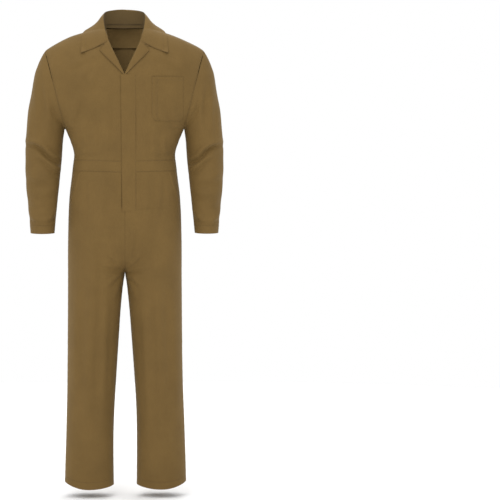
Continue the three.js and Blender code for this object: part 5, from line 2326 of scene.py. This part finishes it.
    def teeth(self, hand: int) -> bpy.types.Object:
        """One row of teeth, set along its tape by Geometry Nodes.

        Args:
            hand: 1 for the wearer's left, -1 for the right.

        Returns:
            The piece.
        """
        length = self.shop.sizes.zip_top - self.shop.sizes.zip_bottom
        offset = 0.0 if hand > 0 else self.tooth_pitch / 2
        line = self.on_zip(np.full(2, 0.0021 * hand), np.zeros(2), np.array([0.006 + offset, length - 0.007]))
        width, depth, tall = 0.0013, 0.0017, 0.0007
        points = np.array([
            (x, y, z) for x, y, z in (
                (-tall, -depth * 0.8, -width), (tall, -depth * 0.8, -width), (tall, depth * 0.8, -width),
                (-tall, depth * 0.8, -width),
                (-tall, -depth, 0), (tall, -depth, 0), (tall, depth, 0), (-tall, depth, 0),
                (-tall * 0.6, -depth * 0.6, width), (tall * 0.6, -depth * 0.6, width),
                (tall * 0.6, depth * 0.6, width), (-tall * 0.6, depth * 0.6, width),
            )
        ])
        faces = [(3, 2, 1, 0), (8, 9, 10, 11)]
        for ring in (0, 4):
            faces += [(ring + k, ring + (k + 1) % 4, ring + 4 + (k + 1) % 4, ring + 4 + k) for k in range(4)]
        tooth = mesh_object("one tooth", points, faces, Finish.METAL, smooth_faces=False)
        mesh = bpy.data.meshes.new("tooth line")
        mesh.from_pydata((line + np.array([0, 0, self.shop.sizes.floor])).tolist(), [(0, 1)], [])
        name = f"{SIDES[hand]}_zip_teeth"
        guide = bpy.data.objects.new(name + "_brass", mesh)
        bpy.context.scene.collection.objects.link(guide)
        settings = {"Stitch": tooth, "Pitch": self.tooth_pitch, "Length": 1.0, "Thread": 1.0, "Seed": SEED,
            "Finish": Finish.METAL.material}
        piece = grow(guide, self.shop.stitcher.tree, settings)
        bpy.data.objects.remove(tooth)
        piece.data.shade_flat()
        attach(piece, "torso")
        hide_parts(name)
        self.shop.report(piece, "a tooth every %.1f mm" % (self.tooth_pitch * 1000))
        return piece

    def metal(self, name: str, body: str, outline: Sequence[tuple[float, float]], y: tuple[float, float],
        hole: tuple[float, float, float] | None = None, bevel: float = 0.25 * MM) -> bpy.types.Object:
        """A small brass part cut to an outline seen from the front.

        Args:
            name: The piece's name.
            body: The body it rides on.
            outline: Points across and up the zip, anticlockwise.
            y: Front and back of the part.
            hole: Centre and radius of a round hole, if it has one.
            bevel: Rounding of its edges.

        Returns:
            The piece.
        """
        count = len(outline)
        flat = np.array(outline, float)
        rings = [flat]
        if hole is not None:
            angle = np.arctan2(flat[:, 1] - hole[1], flat[:, 0] - hole[0])
            rings.append(np.stack([hole[0] + hole[2] * np.cos(angle), hole[1] + hole[2] * np.sin(angle)], -1))
        points = np.concatenate([self.on_zip(r[:, 0], np.full(count, depth),
            r[:, 1]) for depth in y for r in rings])
        size = count * len(rings)
        faces: list[Sequence[int]] = []
        for k in range(count):
            n = (k + 1) % count
            faces.append((k, n, size + n, size + k))
            if hole is not None:
                faces.append((count + n, count + k, size + count + k, size + count + n))
                faces.append((n, k, count + k, count + n))
                faces.append((size + k, size + n, size + count + n, size + count + k))
        if hole is None:
            faces += [list(range(count))[::-1], [size + k for k in range(count)]]
        piece = mesh_object(name + "_brass", points + np.array([0, 0, self.shop.sizes.floor]), faces,
            Finish.METAL, smooth_faces=False)
        rounded = piece.modifiers.new("rounded edges", "BEVEL")
        rounded.width, rounded.segments, rounded.limit_method = bevel, 2, "ANGLE"
        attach(piece, body)
        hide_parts(name)
        self.shop.report(piece, "brass")
        return piece

    def build(self) -> None:
        """Make the fly and the whole zip."""
        length = self.shop.sizes.zip_top - self.shop.sizes.zip_bottom
        self.fly()
        for hand in (1, -1):
            self.tape(hand)
            self.teeth(hand)
        top = length - 0.006
        slider = [(-0.0030, top - 0.013), (0.0030, top - 0.013), (0.0052, top - 0.0085),
            (0.0052, top - 0.0025), (0.0034, top), (-0.0034, top), (-0.0052, top - 0.0025),
            (-0.0052, top - 0.0085)]
        self.metal("zip_slider", "zip_slider", slider, (-0.0032, 0.0032))
        eye = top - 0.004
        turn = np.linspace(math.pi, 2 * math.pi, 9)
        tab = [(0.0030 * math.cos(a), eye - 0.0190 + 0.0030 * math.sin(a)) for a in turn]
        tab += [(-0.0030 * math.cos(a), eye - 0.0 - 0.0026 * math.sin(a) * 0.9) for a in turn]
        self.metal("zip_pull", "zip_pull", tab, (-0.0053, -0.0037), hole=(0, eye, 0.0014))
        for name, low, high in (("zip_bottom_stop", 0.0004, 0.0036),
            ("zip_top_stop", length - 0.0034, length - 0.0004)):
            self.metal(name, "torso", [(-0.0026, low), (0.0026, low), (0.0026, high), (-0.0026, high)],
                (-0.0016, 0.0016))


# ---- Pockets -------------------------------------------------------------------------------------


@dataclass
class Pocket:
    """A patch pocket sewn onto the suit.

    Attributes:
        node: The CAD node it stands for.
        across: Inner and outer edge, from the centre.
        up: Bottom and top.
        corner: Size of the cut corners.
        hand: The side it is on.
        sag: How far the mouth sags.
        gape: How far the mouth stands open.
        mouth: Strength of the painted shadow at the edge of the mouth.
        slot: Shares across at which the pen slot is stitched.
    """

    shop: Workshop
    node: str
    across: tuple[float, float]
    up: tuple[float, float]
    corner: float
    hand: int
    sag: float = 0.0
    gape: float = 1.6 * MM
    mouth: float = 0.35
    slot: tuple[float, ...] = ()

    def build(self, surface: Callable[[Array, Array], Array], folds: Sequence[Fold], hold: Hold,
        flip: bool) -> Grid:
        """Make the pocket and its stitching.

        Args:
            surface: Points of the cloth beneath, for distances from the centre and heights.
            folds: Folds of the cloth beneath.
            hold: What it moves with.
            flip: Whether the surface faces backwards.

        Returns:
            The pocket's grid.
        """
        shop = self.shop
        inner, outer = self.across
        bottom, top = self.up
        us = spaced(0, 1, outer - inner, near=(0, 1))
        vs = spaced(0, 1, top - bottom, near=(0, 1))

        def patch(u: Array, v: Array) -> Array:
            """Points of the patch. Args: u: across. v: up. Returns: the points."""
            h = mix(bottom, top - self.sag * np.sin(np.pi * u), v)
            cut = np.clip(self.corner - (h - bottom), 0, None)
            return surface(mix(inner + cut, outer - cut, u), h)

        def finish(p: Array, n: Array) -> Array:
            """Height of the patch above the form. Args: p: points. n: normals. Returns: the lift."""
            grid = Grid(p, n, p[..., :2])
            sewn = grid.edge_distance(True, True, True, False)
            mouth = grid.edge_distance(False, False, False, True)
            body = 0.0006 + 0.0007 * np.sqrt(np.clip(sewn / 0.0022, 0, 1))
            swell = self.gape * smooth(sewn / 0.03) * np.exp(-mouth / 0.03)
            band = 0.0004 * (1 - smooth((mouth - 0.020) / 0.002))
            return shop.drape.lift(p, n, folds) + body + swell + band

        grid = Grid.over(patch, us, vs, self.hand, flip=flip, finish=finish)
        # Painted shade along the sewn edges, painted shadow at the mouth, and a faint painted shade line at
        # the foot of the hem band.
        shop.shaded(grid, edges(grid.points, left=0.08, right=0.08, bottom=0.12), 1.0 * MM)
        shop.shaded(grid, edges(grid.points, top=self.mouth), 1.3 * MM)
        shop.shaded(grid, [(np.abs(grid.edge_distance(False, False, False, True) - 0.021), 0.12)], 0.8 * MM)
        shop.make(self.node, grid, hold, [self.node], thickness=1.0 * MM)
        line = grid.lifted(STITCH_RISE)
        shop.stitcher.add(hold, line.points[:, 3], line.points[:, -4], line.points[3, 3:-3],
            line.line(row=1 - 0.020 / (top - bottom))[4:-4])
        for share in self.slot:
            shop.stitcher.add(hold, line.line(column=share)[2:-2])
        return line


@dataclass
class SidePocket:
    """A slanted side pocket: its folded edge and the bag behind.

    Attributes:
        hand: The side it is on.
        top: Distance from the centre and height of the opening's upper end.
        bottom: The same for its lower end.
        width: Width of the folded edge.
        bag: Inner edge, outer edge, bottom and top of the bag.
    """

    shop: Workshop
    hand: int
    top: tuple[float, float] = (0.157, 1.088)
    bottom: tuple[float, float] = (0.1865, 0.982)
    width: float = 9 * MM
    bag: tuple[float, float, float, float] = (0.091, 0.165, 0.942, 1.078)

    def surface(self, x: Array, h: Array) -> Array:
        """Points of the trouser front at distances from the centre and heights."""
        form = self.shop.form
        return stack(x, -through(form.fronts, h) * fullness(x, form.half_width(h), form.POWER), h)

    def build(self) -> None:
        """Make the folded edge, its stitches and the bag."""
        shop, side = self.shop, SIDES[self.hand]

        def edge(u: Array, v: Array) -> Array:
            """Points of the folded edge."""
            x = mix(self.bottom[0], self.top[0], v) - self.width * (1 - u)
            return self.surface(np.minimum(x,
                self.shop.form.half_width(mix(self.bottom[1], self.top[1], v)) * 0.985),
                mix(self.bottom[1], self.top[1], v))

        def finish(p: Array, n: Array) -> Array:
            """Height of the fold. Args: p: points. n: normals. Returns: the lift."""
            grid = Grid(p, n, p[..., :2])
            fold = grid.edge_distance(False, True, False, False)
            inside = grid.edge_distance(True, False, True, True)
            return (shop.drape.lift(p, n, TROUSER_FOLDS)
                    + 0.0016 * smooth(inside / 0.004) - 0.0022 * bump(fold, 0.9 * MM))

        grid = Grid.over(edge, spaced(0, 1, self.width, near=(1,)), spaced(0, 1, 0.11), self.hand,
            finish=finish)
        # Painted shadow along the folded edge, where the opening lies.
        shop.shaded(grid, edges(grid.points, right=0.9), 1.2 * MM)
        hold = shop.hold("hip", self.hand)
        shop.make(f"{side}_side_pocket_edge", grid, hold, thickness=0.9 * MM)
        shop.stitcher.add(hold, grid.lifted(STITCH_RISE).line(column=0.45))
        inner, outer, low, high = self.bag

        def bag(u: Array, v: Array) -> Array:
            """Points of the bag. Args: u: across. v: up. Returns: the points."""
            h = mix(low, high, v)
            x = mix(inner, outer, u)
            rounded = 0.006 * np.sin(np.pi * u) * np.sin(np.pi * np.clip(v, 0, 1))
            return self.surface(x, h) + stack(0 * x, 0.0125 + rounded, 0 * x)

        grid = Grid.over(bag, np.linspace(0, 1, 30), np.linspace(0, 1, 50), self.hand)
        name = f"{side}_side_pocket_bag"
        shop.make(name, grid, TORSO, [name], finish=Finish.INSIDE, slot="twill_inside")


def seat(form: Form) -> Callable[[Array, Array], Array]:
    """The surface of the seat by distance from the centre and height.

    Args:
        form: The worn shape.

    Returns:
        The surface.
    """

    def at(x: Array, h: Array) -> Array:
        """Points of the seat. Args: x: distances. h: heights. Returns: the points."""
        near, far = np.full_like(x, 0.5), np.ones_like(x)
        for _ in range(30):
            middle = (near + far) / 2
            outside = form.trouser_point(middle, h)[..., 0] > x
            near, far = np.where(outside, middle, near), np.where(outside, far, middle)
        return form.trouser_point(near, h)

    return at


def chest(form: Form) -> Callable[[Array, Array], Array]:
    """The surface of the chest by distance from the centre and height."""
    return lambda x, h: stack(x, form.bodice_y(x, h, -1), h)


# ---- The studio ----------------------------------------------------------------------------------


@dataclass
class Studio:
    """Floor, lights and camera.

    Attributes:
        distance: Distance of the camera from the suit.
        height: Height of the camera above the hems.
        lens: Focal length in millimetres.
        turn: Turn of the camera in degrees, which sets the suit left of the middle.
        dip: How far the camera looks down, in degrees.
        reach: Radius of the floor.
    """

    sizes: Sizes
    distance: float = 8.0
    height: float = 1.15
    lens: float = 167.5
    turn: float = 3.08
    dip: float = 2.368
    reach: float = 4.0

    def floor(self) -> None:
        """A round, pale floor."""
        turns = np.linspace(0, 2 * math.pi, 97)[:-1]
        points = np.stack([self.reach * np.cos(turns), self.reach * np.sin(turns),
            np.full(96, self.sizes.floor - 0.030)], -1)
        mesh_object("studio_floor", points, [list(range(96))], Finish.PAPER)

    def light(self, name: str, place: tuple[float, float, float], size: float, power: float) -> None:
        """One soft lamp aimed at the suit.

        Args:
            name: Its name.
            place: Where it stands, with the height above the hems.
            size: Width of its panel.
            power: Its power in watts.
        """
        lamp = bpy.data.lights.new(name, "AREA")
        lamp.size, lamp.energy = size, power
        stand = bpy.data.objects.new(name, lamp)
        spot = Vector(place) + Vector((0, 0, self.sizes.floor))
        stand.location = spot
        aim = Vector((0, 0, self.sizes.floor + 1.15)) - spot
        stand.rotation_euler = aim.to_track_quat("-Z", "Y").to_euler()
        bpy.context.scene.collection.objects.link(stand)

    def build(self) -> None:
        """Set up the studio."""
        self.floor()
        self.light("front panel", (-0.9, -3.4, 2.9), 1.8, 44)
        self.light("back panel", (0.9, 3.4, 2.9), 1.8, 36)
        self.light("overhead panel", (0, -0.2, 4.2), 2.4, 34)
        world = bpy.data.worlds.new("studio")
        world.use_nodes = True
        world.node_tree.nodes["Background"].inputs[0].default_value = (1, 1, 1, 1)
        world.node_tree.nodes["Background"].inputs[1].default_value = 1.0
        scene = bpy.context.scene
        scene.world = world
        scene.view_settings.view_transform = "Standard"
        lens = bpy.data.cameras.new("camera")
        lens.lens, lens.sensor_width = self.lens, 36.0
        camera = bpy.data.objects.new("camera", lens)
        camera.location = (0, -self.distance, self.sizes.floor + self.height)
        camera.rotation_euler = (math.radians(90 - self.dip), 0, -math.radians(self.turn))
        scene.collection.objects.link(camera)
        scene.camera = camera


def main() -> None:
    """Build the whole suit."""
    logging.basicConfig(level=logging.INFO, format="%(message)s")
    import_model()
    sizes = Sizes.from_frame()
    form = Form(sizes)
    shop = Workshop(sizes, form, Drape(SEED), Stitcher(sizes.floor))
    Bodice(shop).build()
    for hand in (1, -1):
        Sleeve(shop, hand).build()
        SidePocket(shop, hand).build()
    Trousers(shop).build()
    Collar(shop).build()
    Closure(shop).build()
    Pocket(shop, "chest_pocket", (0.0915, 0.1995), (1.2605, 1.4105), 0.014, 1, slot=(0.20, 0.24)).build(
        chest(form), BODICE_FOLDS, TORSO, False)
    Pocket(shop, "hip_pocket", (0.0645, 0.1655), (0.806, 0.966), 0.014, -1, sag=0.010, gape=5.0 * MM,
        mouth=0.75).build(
        seat(form), TROUSER_FOLDS, shop.hold("hip", -1), True)
    for piece in shop.stitcher.sew():
        shop.report(piece, f"{len(piece.data.vertices) // 20} stitches")
    Studio(sizes).build()
    log.info("%d pieces", len(shop.pieces))


if __name__ == "__main__":
    main()
